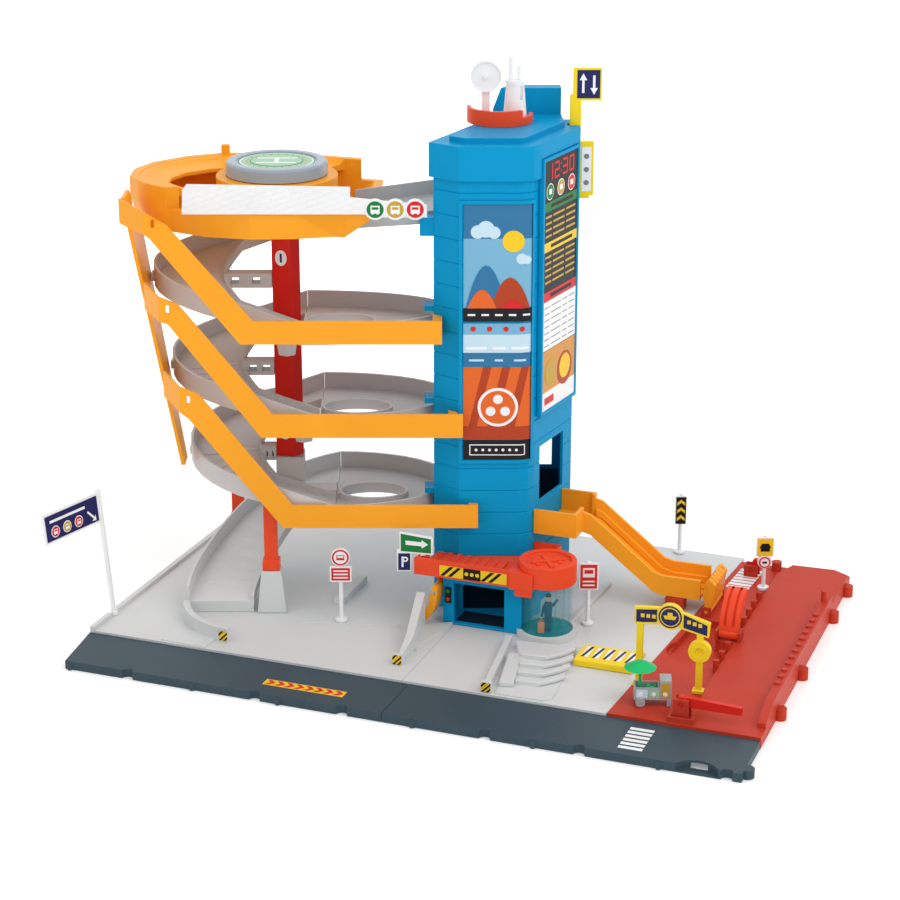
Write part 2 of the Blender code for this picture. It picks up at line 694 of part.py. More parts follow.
def base_plates():
    front = BASE_FRONT + ROAD_DEPTH + GAP / 2
    seam_left = PLATE_SEAM - GAP / 2
    seam_right = PLATE_SEAM + GAP / 2
    top = PLATE_HEIGHT
    under = top - WALL
    left_plan = [(BASE_LEFT, front), (seam_left, front), (seam_left, BASE_BACK), (BASE_LEFT, BASE_BACK)]
    rim = box((BASE_LEFT, BASE_LEFT + EDGE_RIM), (front, BASE_BACK), (under, top + EDGE_RIM_HEIGHT))
    curl = prism(arc_band(CURB_CENTRE, CURB_RADIUS - CURB_WIDTH, CURB_RADIUS, CURB_FROM, CURB_TO, 14),
                 under, top + CURB_HEIGHT)
    apron = prism(APRON_LEFT, under, top + APRON_LOW_HEIGHT)
    guard = loft([[(left, y, under), (right, y, under), (right, y, height), (left, y, height)]
                  for y, left, right, height in GUARD_STATIONS])
    bosses = [disc(spot, BOSS_RADIUS, 0.0, under + 0.0005, 16) for spot in LEFT_BOSSES]
    pocket = box((BASE_LEFT + WALL, seam_left - WALL), (front + WALL, BASE_BACK - WALL), (-0.001, under))
    left = [hollow_plate(left_plan, top, pocket), rim, curl, apron, guard] + bosses
    seat = box((LEFT_SIGN[0] - 0.0030, LEFT_SIGN[0] + 0.010), (LEFT_SIGN[1] - 0.004, LEFT_SIGN[1] + 0.004),
               (top, top + 0.02))
    piece("base_left", "cool_grey", left, [seat])

    border = PIER_BORDER - GAP / 2
    back_right = border + PIER_LEAN * (BASE_BACK - front)
    right_plan = [(seam_right, front), (border, front), (back_right, BASE_BACK), (seam_right, BASE_BACK)]
    pocket = prism([(seam_right + WALL, front + WALL), (border - WALL, front + WALL),
                    (back_right - 2 * WALL, BASE_BACK - WALL), (seam_right + WALL, BASE_BACK - WALL)],
                   -0.001, under)
    apron = block_between(*APRON_RIGHT, APRON_CURB, under, top + APRON_CURB_HEIGHT)
    steps = [prism(STEP_SLAB, under, top + STEP_RISE)]
    for index, line in enumerate(STEP_LINES):
        plan = [STEP_SLAB[0], *line, STEP_SLAB[-1]]
        steps.append(prism(plan, under, top + STEP_RISE * (index + 2)))
    steps.append(disc(BOOTH_CENTRE, BOOTH_RING[0], under, BOOTH_RING[1], 40))
    bosses = [disc(spot, BOSS_RADIUS, 0.0, under + 0.0005, 16) for spot in RIGHT_BOSSES]
    stand = disc(BOOTH_CENTRE, BOOTH_FLOOR_RADIUS + GAP, top, top + 0.02, 40)
    door_zone = box((DOOR_RIGHT - 0.001, DOOR_RIGHT + DOOR_RIGHT_POST + GAP), (DOOR_FRONT - GAP, 0.03),
                    (top, top + 0.02))
    piece("base_right", "cool_grey", [hollow_plate(right_plan, top, pocket), apron] + steps + bosses,
          [stand, door_zone])


def hollow_plate(outline, top, pocket):
    """A plate whose pocket below is already taken out, so bosses can be joined inside it."""
    plate = mesh_object("plate_blank", [prism(outline, 0.0, top)], "cutters", None, (0.0, 0.0, 0.0))
    tool = mesh_object("plate_pocket", [pocket], "cutters", None, (0.0, 0.0, 0.0))
    cut = plate.modifiers.new("pocket", "BOOLEAN")
    cut.operation = "DIFFERENCE"
    cut.object = tool
    cut.solver = "EXACT"
    seen = plate.evaluated_get(bpy.context.evaluated_depsgraph_get())
    made = bmesh.new()
    made.from_mesh(seen.to_mesh())
    seen.to_mesh_clear()
    for item in (plate, tool):
        bpy.data.objects.remove(item, do_unlink=True)
    return made


def border_x(y):
    """Where the slanted seam between the base and the pier passes a depth."""
    return PIER_BORDER + PIER_LEAN * (y - BASE_FRONT - ROAD_DEPTH)


def pier():
    front = BASE_FRONT + ROAD_DEPTH + GAP / 2
    border = PIER_BORDER + GAP / 2
    back_left = border + PIER_LEAN * (PIER_BACK - front)
    outline = [(border, front), (BASE_RIGHT, front), (BASE_RIGHT, PIER_BACK), (back_left, PIER_BACK)]
    under = PIER_SLAB - WALL
    pocket = prism([(border + 4 * WALL, front + WALL), (BASE_RIGHT - WALL, front + WALL),
                    (BASE_RIGHT - WALL, PIER_BACK - WALL), (back_left + WALL, PIER_BACK - WALL)],
                   -0.001, under)
    shapes = [hollow_plate(outline, PIER_SLAB, pocket)]
    ramp = [(WALKWAY_TOE, under), (WALKWAY_FRONT, under), (WALKWAY_FRONT, WALKWAY_TOP),
            (WALKWAY_TOE, PIER_SLAB)]
    shapes.append(side_on(ramp, WALKWAY_LEFT, BASE_RIGHT))
    shapes.append(box((WALKWAY_LEFT, BASE_RIGHT), (WALKWAY_FRONT - GAP, LANDING[0][1] + GAP),
                      (under, WALKWAY_TOP)))
    shapes.append(prism(LANDING, under, WALKWAY_TOP))
    shapes.append(disc(LANDING_KNOB[:2], LANDING_KNOB[2], under, LANDING_KNOB[3], 16))
    (u_left, u_right), (u_front, u_back), u_wall, u_top = U_FRAME
    u_block = box((u_left, u_right), (u_front, u_back), (under, u_top))
    u_well = box((u_left + u_wall, u_right - u_wall), (u_front + u_wall, u_back + 0.01),
                 (under - 0.01, u_top + 0.01))
    shapes.append(cut_now(u_block, u_well))
    wall = [(PARAPET_FRONT, under), (PARAPET_BACK, under), (PARAPET_BACK, PARAPET_TOP),
            (PARAPET_RISE, PARAPET_TOP), (PARAPET_FRONT, PIER_SLAB + 0.004)]
    shapes.append(side_on(wall, BASE_RIGHT - PARAPET_WIDTH, BASE_RIGHT))
    for index in range(RIGHT_PILES):
        shapes.append(disc((PILE_LINE, PILE_BACK - PILE_PITCH * index), PILE_RADIUS, under, PILE_TOP, 10))
    shapes.append(disc((PILE_LINE, TALL_PILE[0]), PILE_RADIUS, under, TALL_PILE[1], 10))
    for y in LANE_PILES:
        shapes.append(disc((LANE_PILE_LINE, y), PILE_RADIUS, under, LANE_PILE_TOP, 10))
    for y in PIER_LUGS:
        shapes.append(disc((BASE_RIGHT + LUG_REACH - LUG_RADIUS, y), LUG_RADIUS, 0.0, PIER_SLAB, 16))
    near_edge, far_edge = DOCK_FRONT - 0.026, DOCK_BACK + WALL
    dock_plan = [(border_x(near_edge) + GAP, near_edge), (DOCK_RIGHT + WALL, near_edge),
                 (DOCK_RIGHT + WALL, far_edge), (border_x(far_edge) + GAP, far_edge)]
    shapes.append(prism(dock_plan, DOCK_FLOOR - WALL, PIER_SLAB - 0.0005))
    shapes += barrier_cheeks(BARRIER_PIVOT, BARRIER_WIDTH, under)
    shapes += barrier_cheeks(REAR_PIVOT, REAR_WIDTH, under)
    shapes += [placed(ear, lever_turn()) for ear in barrier_cheeks(LEVER_PIVOT, LEVER_WIDTH,
                                                                   DOCK_FLOOR - 0.001)]
    shapes.append(box(LEVER_SEAT[0], LEVER_SEAT[1], (DOCK_FLOOR - 0.001, LEVER_SEAT[2])))
    gate_half = 2 * (GATE_HALF + GAP)
    shapes += barrier_cheeks(GATE_PIVOT, gate_half, under, 0.007)
    dock_left = border_x(DOCK_FRONT) + DOCK_WALL
    middle = ((dock_left + DOCK_RIGHT) / 2, DOCK_FRONT)
    basin = [(dock_left, DOCK_FRONT), (DOCK_RIGHT, DOCK_FRONT), (DOCK_RIGHT, DOCK_BACK),
             (border_x(DOCK_BACK) + DOCK_WALL, DOCK_BACK)]
    keep = box((LEVER_SEAT[0][0] - GAP, 0.3), (LEVER_SEAT[1][0], LEVER_SEAT[1][1]), (0.0, 0.05))
    cuts = [cut_now(prism(basin, DOCK_FLOOR, 0.012), keep),
            disc(middle, (DOCK_RIGHT - dock_left) / 2 - GAP, DOCK_FLOOR + 0.001, 0.012, 28),
            disc(middle, (DOCK_RIGHT - dock_left) / 2 + 0.003, DOCK_STEP, 0.012, 28)]
    for pivot, width, turn in ((BARRIER_PIVOT, BARRIER_WIDTH, 0.0), (REAR_PIVOT, REAR_WIDTH, 0.0),
                               (LEVER_PIVOT, LEVER_WIDTH, 90.0), (GATE_PIVOT, gate_half, 0.0)):
        reach = width / 2 + CHEEK + 0.001
        bore = rod_along_y(pivot[0], pivot[2], PIN_RADIUS + GAP, pivot[1] - reach, pivot[1] + reach, 12)
        cuts.append(placed(bore, turned_at(pivot, turn)))
    piece("pier", "pier_red", shapes, cuts)


def barrier_cheeks(pivot, width, low, length=CHEEK_LENGTH):
    """The two ears that carry a hinge pin, one on each side of the moving piece."""
    top = pivot[2] + PIN_RADIUS + 2 * GAP + 0.0012
    ears = []
    for side in (-1.0, 1.0):
        inner = pivot[1] + side * (width / 2 + GAP)
        outer = inner + side * CHEEK
        ears.append(box((pivot[0] - length / 2, pivot[0] + length / 2), sorted((inner, outer)), (low, top)))
    return ears


def hinge_pins(pivot, width):
    """Stub pins on both sides of a moving piece, reaching through its ears."""
    reach = width / 2 + CHEEK
    return rod_along_y(pivot[0], pivot[2], PIN_RADIUS, pivot[1] - reach, pivot[1] + reach, 12)


def front_barrier():
    x, y, z = BARRIER_PIVOT
    near, far = y - BARRIER_WIDTH / 2, y + BARRIER_WIDTH / 2
    hub = rod_along_y(x, z, BARRIER_HUB, near, far, 20)
    arm = [(x, z - BARRIER_ARM_HALF), (x + BARRIER_ARM, z - BARRIER_ARM_HALF),
           (x + BARRIER_ARM, z + BARRIER_ARM_HALF), (x, z + BARRIER_HUB)]
    shapes = [hub, upright(arm, near + 0.0008, far - 0.0008), hinge_pins(BARRIER_PIVOT, BARRIER_WIDTH)]
    piece("front_barrier", "red", shapes, pivot=BARRIER_PIVOT)


def rear_barrier():
    x, y, z = REAR_PIVOT
    near, far = y - REAR_WIDTH / 2, y + REAR_WIDTH / 2
    hub = rod_along_y(x, z, 0.0034, near, far, 16)
    arm = [(x - 0.003, z), (x + 0.003, z), (x + 0.0055, z + REAR_ARM), (x + 0.0015, z + REAR_ARM)]
    shapes = [hub, upright(arm, near + 0.0008, far - 0.0008), hinge_pins(REAR_PIVOT, REAR_WIDTH)]
    piece("rear_barrier", "red", shapes, pivot=REAR_PIVOT)


def boat_lever():
    """The curved flipper at the dock: a thick arc with two grooves, on a pin at its foot."""
    x, y, z = LEVER_PIVOT
    near, far = y - LEVER_WIDTH / 2, y + LEVER_WIDTH / 2
    centre = (x + LEVER_RADIUS - LEVER_THICK / 2, z)
    band = arc_band(centre, LEVER_RADIUS - LEVER_THICK, LEVER_RADIUS, *LEVER_SWEEP, 10)
    foot = rod_along_y(x, z, 0.004, near, far, 16)
    turn = lever_turn()
    grooves = []
    for share in (-0.22, 0.22):
        middle = y + LEVER_WIDTH * share
        slot = arc_band(centre, LEVER_RADIUS - 0.002, LEVER_RADIUS + 0.002, LEVER_SWEEP[0] - 14,
                        LEVER_SWEEP[1], 8)
        grooves.append(placed(upright(slot, middle - 0.001, middle + 0.001), turn))
    shapes = [upright(band, near, far), foot, hinge_pins(LEVER_PIVOT, LEVER_WIDTH)]
    piece("boat_lever", "coral", [placed(shape, turn) for shape in shapes], grooves, pivot=LEVER_PIVOT)


def lever_turn():
    """The quarter turn that lays the lever's pin along X, about its own place."""
    return turned_at(LEVER_PIVOT, 90.0)


def turned_at(spot, angle):
    """A turn about the upright line through a spot, angle in degrees."""
    middle = Vector((spot[0], spot[1], 0.0))
    return Matrix.Translation(middle) @ Matrix.Rotation(math.radians(angle), 4,
                                                        "Z") @ Matrix.Translation(-middle)


def claw_gate():
    """The gate at the slide's end: a rail at the bottom and ribs that curve up from it."""
    x, y, z = GATE_PIVOT
    near, far = y - GATE_HALF, y + GATE_HALF
    rail = rod_along_y(x, z, 0.0032, near, far, 16)
    shapes = [rail, hinge_pins(GATE_PIVOT, 2 * GATE_HALF)]
    rib = [(x - 0.0027, z + 0.0002), (x + GATE_BAR - 0.0003, z + 0.0002), (x + GATE_BAR + 0.001, z + 0.008),
           (x + GATE_BAR + 0.003, GATE_TOP - 0.004),
           (x + 0.001, GATE_TOP), (x - 0.002, GATE_TOP - 0.003),
           (x + 0.0005, GATE_TOP - 0.007), (x - 0.0015, z + 0.008)]
    pitch = (2 * GATE_HALF - GATE_RIB_DEPTH) / (GATE_RIBS - 1)
    for index in range(GATE_RIBS):
        start = near + pitch * index
        shapes.append(upright(rib, start, start + GATE_RIB_DEPTH))
    for height in (z + 0.007, GATE_TOP - 0.007):
        shapes.append(box((x, x + GATE_BAR), (near + 0.001, far - 0.001), (height, height + 0.003)))
    piece("claw_gate", "orange", shapes, pivot=GATE_PIVOT)


def hump_plate():
    left, right, front, back = HUMP
    low = PLATE_HEIGHT + GAP
    section = [(front, low), (back, low), (back, low + 0.001), (back - 0.011, HUMP_TOP),
               (front + 0.004, HUMP_TOP),
               (front, HUMP_TOP - 0.001)]
    piece("hump_plate", "yellow", [side_on(section, left, right)])


def arch():
    """The flat gate over the dock lane, drawn along the line between its two feet."""
    start = Vector(ARCH_LEFT)
    along = Vector(ARCH_RIGHT) - start
    span = along.length
    foot = PIER_SLAB + GAP
    middle = span / 2
    near, far = -ARCH_THICK / 2, ARCH_THICK / 2
    beam = [(-0.004, ARCH_LEFT_UNDER), (middle, ARCH_LEFT_UNDER + 0.002), (span + 0.006, ARCH_RIGHT_UNDER),
            (span + 0.007, ARCH_RIGHT_TOP), (middle, ARCH_LEFT_TOP + 0.002), (-0.004, ARCH_LEFT_TOP)]
    shapes = [upright(beam, near, far)]
    shapes.append(rod_along_y(middle, ARCH_DISC_HEIGHT, ARCH_DISC, near - 0.0008, far, 24))
    for x, top in ((0.0, ARCH_LEFT_UNDER), (span, ARCH_RIGHT_UNDER)):
        shapes.append(box((x - ARCH_LEG / 2, x + ARCH_LEG / 2), (near - GAP, far + GAP), (foot, top + 0.002)))
        shapes.append(box((x - 0.9 * ARCH_LEG, x + 0.9 * ARCH_LEG), (near - 0.002, far + 0.002),
                          (foot, foot + 0.002)))
    shapes.append(rod_along_y(span, RING_LIFE_HEIGHT, RING_LIFE_RADIUS, near - 0.001, far + 0.001, 24))
    hole = rod_along_y(span, RING_LIFE_HEIGHT, RING_LIFE_RADIUS * 0.42, near - 0.01, far + 0.01, 16)
    turn = Matrix.Translation((start.x, start.y, 0.0)) @ Matrix.Rotation(math.atan2(along.y, along.x), 4, "Z")
    piece("arch", "yellow", [placed(shape, turn) for shape in shapes], [placed(hole, turn)])


def entrance():
    low = PLATE_HEIGHT + GAP
    left = DOOR_LEFT - DOOR_LEFT_POST
    right = DOOR_RIGHT + DOOR_RIGHT_POST
    back = -2 * GAP
    corners = [(left, DOOR_FRONT), (right, DOOR_FRONT), on_base(0.054, back), on_base(-0.0015, back)]
    outline = [corners[0], corners[1], (right, corners[2][1]), corners[3]]
    outline[2] = (right, line_height(corners[3], corners[2], right))
    outline.append((left, corners[3][1]))
    outline = [outline[0], outline[1], outline[2], outline[3], outline[4]]
    top = CANOPY_BOTTOM - GAP
    inner = [(left + 2 * WALL, DOOR_FRONT + 2 * WALL), (right - 2 * WALL, DOOR_FRONT + 2 * WALL),
             (right - 2 * WALL, 0.06), (left + 2 * WALL, 0.06)]
    cuts = [prism(inner, low + 0.0015, top + 0.001),
            box((DOOR_LEFT, DOOR_RIGHT), (DOOR_FRONT - 0.01, 0.0), (low + 0.0015, DOOR_TOP)),
            disc(BOOTH_CENTRE, BOOTH_FLOOR_RADIUS + GAP, 0.0, 0.1, 40),
            placed(prism(tower_outline(GAP), 0.0, 0.1), tower_matrix())]
    piece("door_frame", "tower_blue", [prism(outline, low, top)], cuts)


def line_height(start, end, x):
    """The y at which the straight line from start to end passes x."""
    return start[1] + (end[1] - start[1]) * (x - start[0]) / (end[0] - start[0])


def door_scoop():
    """The curved chute beside the door: a channel bent along an arc, on a pin at its upper end."""
    x, y, z = SCOOP_PIVOT
    width, depth = SCOOP_RADII
    centre = (x + SCOOP_HUB - width, z)
    near, far = y - SCOOP_WIDTH / 2, y + SCOOP_WIDTH / 2
    outer = ellipse(centre, SCOOP_RADII, 0.0, -88.0, 10)
    floor = outer + ellipse(centre, (width - SCOOP_WALL, depth - SCOOP_WALL), -88.0, 0.0, 10)
    side_line = ellipse(centre, (width - 0.0004, depth - 0.0004), -12.0, -86.0, 10)
    side = side_line + ellipse(centre, (width - SCOOP_SIDE, depth - SCOOP_SIDE), -86.0, -12.0, 9)
    shapes = [upright(floor, near, far), upright(side, near, near + SCOOP_WALL),
              upright(side, far - SCOOP_WALL, far), rod_along_y(x, z, SCOOP_HUB, near, far, 12),
              rod_along_y(x, z, PIN_RADIUS, far - 0.001, far + GAP + CHEEK, 12)]
    piece("door_scoop", "orange", shapes, pivot=SCOOP_PIVOT)


def canopy():
    """The roof over the entrance: a rim round a ribbed deck, cut to the tower and the round booth roof."""
    low, top = CANOPY_BOTTOM, CANOPY_TOP
    body = prism(CANOPY_OUTLINE, low, top)
    well = box(*CANOPY_WELL, (CANOPY_DECK, top + 0.004))
    rear = box(*CANOPY_REAR_WELL, (CANOPY_DECK + 0.0015, top + 0.004))
    body = cut_now(cut_now(body, well), rear)
    shapes = [body]
    (left, right), (front, back) = CANOPY_WELL
    count = int((right - left - 0.006) / CANOPY_RIB_PITCH)
    for index in range(count + 1):
        start = left + 0.004 + CANOPY_RIB_PITCH * index
        shapes.append(box((start, start + CANOPY_RIB), (front + 0.002, 0.0),
                          (CANOPY_DECK - 0.001, CANOPY_DECK + 0.0015)))
    pivot_x, pivot_y, pivot_z = SCOOP_PIVOT
    ear_near = pivot_y + SCOOP_WIDTH / 2 + GAP
    shapes.append(box((pivot_x - 0.003, pivot_x + SCOOP_HUB), (ear_near, ear_near + CHEEK),
                      (pivot_z - 0.0035, low + 0.0015)))
    shapes.append(box((0.0470, 0.0600), (-0.0355, -0.0330), (low - 0.005, low + 0.001)))
    under_x, under_y, under_top = CANOPY_UNDER
    cuts = [placed(prism(tower_outline(GAP), 0.0, 0.1), tower_matrix()),
            disc(BOOTH_CENTRE, BOOTH_ROOF_RADIUS + GAP, 0.0, 0.1, 40)]
    hollow = prism([(under_x[0], under_y[0]), (under_x[1], under_y[0]), (under_x[1], 0.0055),
                    (under_x[0], -0.0125)],
                   low - 0.001, under_top)
    ear_keep = box((pivot_x - 0.004, pivot_x + SCOOP_HUB + 0.001),
                   (ear_near - 0.001, ear_near + CHEEK + 0.001),
                   (0.0, 0.1))
    cuts.append(cut_now(hollow, ear_keep))
    cuts.append(rod_along_y(pivot_x, pivot_z, PIN_RADIUS + GAP, ear_near - 0.001, ear_near + CHEEK + 0.001,
                            12))
    piece("entrance_canopy", "coral", shapes, cuts)


def booth():
    floor_low = PLATE_HEIGHT + GAP
    low, top = BOOTH_ROOF_BOTTOM, BOOTH_ROOF_TOP
    ceiling = top - 2 * WALL
    piece("booth_floor", "teal", [disc(BOOTH_CENTRE, BOOTH_FLOOR_RADIUS, floor_low, BOOTH_FLOOR_TOP, 40)])
    glass_low = BOOTH_FLOOR_TOP + GAP
    glass_top = ceiling - GAP
    piece("booth_glass", "clear_teal", [disc(BOOTH_CENTRE, BOOTH_RADIUS, glass_low, glass_top, 40)],
          [disc(BOOTH_CENTRE, BOOTH_RADIUS - BOOTH_WALL, glass_low - 0.01, glass_top + 0.01, 40)])
    cuts = [disc(BOOTH_CENTRE, BOOTH_RADIUS + GAP, low - 0.01, ceiling, 40),
            disc(BOOTH_CENTRE, BOOTH_ROOF_RADIUS - BOOTH_ROOF_RIM, top - BOOTH_ROOF_DISH, top + 0.01, 40)]
    piece("booth_roof", "coral", [disc(BOOTH_CENTRE, BOOTH_ROOF_RADIUS, low, top, 40)], cuts)


def tower(frame):
    foot = PLATE_HEIGHT + GAP
    outer = tower_outline()
    inner = inset(outer, TOWER_WALL)
    front_only = box((-0.2, 0.2), (TOWER_SPLIT - GAP, 0.3), (-0.1, 0.5))
    wall_u = (TOWER_FACET[0] - 0.005, -TOWER_FACET[0] + 0.001)
    cuts = [prism(inner, foot - 0.01, TOWER_TOP + 0.01), front_only]
    for number in range(3):
        cuts.append(box(wall_u, SHAFT_DOOR, (level(number), level(number) + SHAFT_DOOR_HEIGHT)))
    cuts.append(box(wall_u, SHAFT_DOOR, (BRIDGE_RIGHT_TOP, TOWER_TOP - 0.003)))
    cuts.append(box(GROUND_DOOR, (-0.01, 0.01), (foot + 0.002, GROUND_DOOR_TOP)))
    cuts.append(side_block(SIDE_DOOR_SPAN, *SIDE_DOOR, -0.01, 0.01))
    slot_low = LIFT_LOW + LIFT_THICK - 0.001
    cuts.append(box((TOWER_BACK_RIGHT - 0.006, TOWER_BACK_RIGHT + 0.01), HANDLE_SPAN,
                    (slot_low, TOWER_TOP + 0.01)))
    shapes = [prism(outer, foot, TOWER_TOP)]
    ledge_left = TOWER_FACET[0] - LEDGE_REACH
    for low, high in ARM_LEVELS:
        ledge = high + 2 * GAP
        shapes.append(wall_shelf(ledge_left, LEDGE_SPAN, ledge, ledge + LEDGE_HEIGHT))
    bracket_left = TOWER_FACET[0] - BRACKET_REACH
    shapes.append(wall_shelf(bracket_left, (0.0155, BRIDGE_FRONT - 4 * GAP), BRACKET_BOTTOM, BRACKET_TOP))
    piece("tower_front", "tower_blue", shapes, cuts, frame)

    back_plan = [(left_wall(TOWER_SPLIT), TOWER_SPLIT), (TOWER_BACK_RIGHT + 0.0005, TOWER_SPLIT),
                 (TOWER_BACK_RIGHT, TOWER_DEPTH), (TOWER_BACK_LEFT, TOWER_DEPTH)]
    inner_wall = TOWER_DEPTH - TOWER_WALL
    rings = []
    for left, v in zip(HOOD_FROM, (TOWER_SPLIT, TOWER_DEPTH)):
        rings.append([(left, v, TOWER_TOP - 0.004), (HOOD_TO, v, TOWER_TOP - 0.004), (HOOD_TO, v, HOOD_TOP),
                      (left + 0.006, v, HOOD_TOP), (left, v, HOOD_TOP - 0.016)])
    right = TOWER_BACK_RIGHT - TOWER_WALL
    near = TOWER_SPLIT - 0.010
    thick = 1.15 * TOWER_WALL
    room = [(left_wall(near) + thick, near), (right, near), (right, inner_wall),
            (left_wall(inner_wall) + thick, inner_wall)]
    cuts = [prism(room, foot - 0.01, TOWER_TOP - TOWER_WALL),
            box((HOOD_FROM[1] + 0.009, HOOD_TO - 0.004), (TOWER_SPLIT + TOWER_WALL, inner_wall),
                (TOWER_TOP - 0.01, HOOD_TOP - TOWER_WALL))]
    for number in range(3):
        low = level(number) + 0.004
        cuts.append(box(WINDOW_SPAN, (inner_wall - 0.01, TOWER_DEPTH + 0.01), (low, low + WINDOW_HEIGHT)))
    piece("tower_back", "tower_blue", [prism(back_plan, foot, TOWER_TOP), loft(rings)], cuts, frame)


def tower_cap(frame):
    low = TOWER_TOP + GAP
    plan = tower_outline(CAP_OUTSET)
    step = inset(tower_outline(), CAP_STEP)
    inner = inset(tower_outline(), TOWER_WALL)
    shapes = [prism(plan, low, CAP_TOP), prism(step, CAP_TOP - 0.001, CAP_STEP_TOP)]
    behind = box((-0.2, 0.2), (TOWER_SPLIT - GAP, 0.3), (0.2, 0.5))
    board = side_block((BOARD_SPAN[0] - GAP, BOARD_SPAN[1] + GAP), BOARD_BOTTOM, BOARD_TOP + GAP, 0.0, 0.02)
    pin = rod_hole(CRESCENT_PIN)
    bar_way = box((HANDLE_BAR[0] - 0.0017, 0.1), HANDLE_SPAN, (low - 0.01, 0.4))
    piece("tower_cap", "tower_blue", shapes,
          [prism(inner, low - 0.01, CAP_TOP - WALL), behind, board, pin, bar_way], frame)


def rod_hole(spot):
    """The hole in the cap's raised step that the roof base's peg sits in."""
    return disc(spot, 0.003 + GAP, CAP_STEP_TOP - 0.003, CAP_STEP_TOP + 0.001, 16)


def posters(frame):
    """The raised border round the front picture, and the side board with its sunk face."""
    near = tower_outline(GAP)
    far = tower_outline(POSTER_PROUD)
    band = box((-0.0005, 0.0548), (-0.01, 0.0085), (POSTER_BOTTOM, POSTER_TOP))
    window = box((0.002, 0.0531), (-0.02, 0.004), (POSTER_BOTTOM + POSTER_BORDER, POSTER_TOP - POSTER_BORDER))
    keep = common(prism(far, POSTER_BOTTOM, POSTER_TOP), band)
    piece("poster_frame", "tower_blue", [keep],
          [prism(near, POSTER_BOTTOM - 0.01, POSTER_TOP + 0.01), window], frame)
    plate = side_block(BOARD_SPAN, BOARD_BOTTOM, BOARD_TOP, GAP, BOARD_PROUD)
    face = side_block((BOARD_SPAN[0] + BOARD_BORDER, BOARD_SPAN[1] - BOARD_BORDER),
                      BOARD_BOTTOM + BOARD_BORDER,
                      BOARD_TOP - BOARD_BORDER, BOARD_PROUD - BOARD_RECESS, BOARD_PROUD + 0.01)
    piece("board_frame", "tower_blue", [plate], [face], frame)


def common(shape, limit):
    """What two solids share."""
    item = mesh_object("common_blank", [shape], "cutters", None, (0.0, 0.0, 0.0))
    tool = mesh_object("common_limit", [limit], "cutters", None, (0.0, 0.0, 0.0))
    step = item.modifiers.new("common", "BOOLEAN")
    step.operation = "INTERSECT"
    step.object = tool
    step.solver = "EXACT"
    seen = item.evaluated_get(bpy.context.evaluated_depsgraph_get())
    made = bmesh.new()
    made.from_mesh(seen.to_mesh())
    seen.to_mesh_clear()
    for used in (item, tool):
        bpy.data.objects.remove(used, do_unlink=True)
    return made


CRESCENT_PIN = (ROOF_CENTRE[0], ROOF_CENTRE[1] - 0.006)
LIFT_LOW = PLATE_HEIGHT + 0.0035


def roof_pieces(frame):
    low = CAP_STEP_TOP + GAP
    floor_top = low + CRESCENT_FLOOR
    inner = CRESCENT_RADIUS - CRESCENT_WALL
    peg = disc(CRESCENT_PIN, 0.003, CAP_STEP_TOP - 0.0025, low + 0.001, 16)
    plate = prism(ellipse(ROOF_CENTRE, (CRESCENT_RADIUS, CRESCENT_RADIUS), 170.0, 370.0, 24), low, floor_top)
    tall = prism(arc_band(ROOF_CENTRE, inner, CRESCENT_RADIUS, 172.0, 312.0, 20), low, CRESCENT_TOP)
    short = prism(arc_band(ROOF_CENTRE, inner, CRESCENT_RADIUS, 311.0, 368.0, 10), low, CRESCENT_LOW)
    bore = disc(MAST, PIN_RADIUS + GAP, low + 0.0005, floor_top + 0.01, 12)
    piece("crescent_base", "coral", [plate, tall, short, peg], [bore], frame)

    mast_low = floor_top + GAP
    half = MAST_WIDTH / 2
    mast = box((MAST[0] - half, MAST[0] + half), (MAST[1] - MAST_THICK / 2, MAST[1] + MAST_THICK / 2),
               (mast_low, MAST_TOP))
    pin = disc(MAST, PIN_RADIUS, low + 0.001, mast_low + 0.001, 12)
    piece("radar_mast", "white", [mast, pin], frame=frame, pivot=(MAST[0], MAST[1], mast_low))
    back = MAST[1] - MAST_THICK / 2 - GAP
    rim = rod_along_y(MAST[0], DISH_HEIGHT, DISH_RADIUS, back - DISH_THICK, back, 32)
    bowl = rod_along_y(MAST[0], DISH_HEIGHT, DISH_RADIUS - 0.0012, back - DISH_THICK - 0.01,
                       back - DISH_THICK + 0.001, 32)
    knob = rod_along_y(MAST[0], DISH_HEIGHT, 0.0016, back - DISH_THICK - 0.001, back - 0.001, 12)
    dish = cut_now(rim, bowl)
    piece("radar_dish", "white", [dish, knob], frame=frame, pivot=(MAST[0], MAST[1], mast_low))

    foot = floor_top + GAP
    cabin = cone(CONTROL, foot, CONTROL_TOP, CONTROL_FOOT, CONTROL_HEAD, 16)
    head = disc(CONTROL, CONTROL_HEAD + 0.0008, CONTROL_TOP - 0.003, CONTROL_TOP, 16)
    tall_rod = disc((CONTROL[0] - 0.003, CONTROL[1]), ANTENNA_RADIUS, CONTROL_TOP - 0.001, ANTENNA_TOP, 10)
    short_rod = disc((CONTROL[0] + 0.003, CONTROL[1]), ANTENNA_RADIUS, CONTROL_TOP - 0.001,
                     SHORT_ANTENNA_TOP, 10)
    notch = box((CONTROL[0] + 0.0035, CONTROL[0] + 0.0055), (CONTROL[1] - 0.012, CONTROL[1] - 0.0035),
                (CONTROL_TOP - 0.014, CONTROL_TOP - 0.004))
    piece("control_tower", "white", [cabin, head, tall_rod, short_rod], [notch], frame)


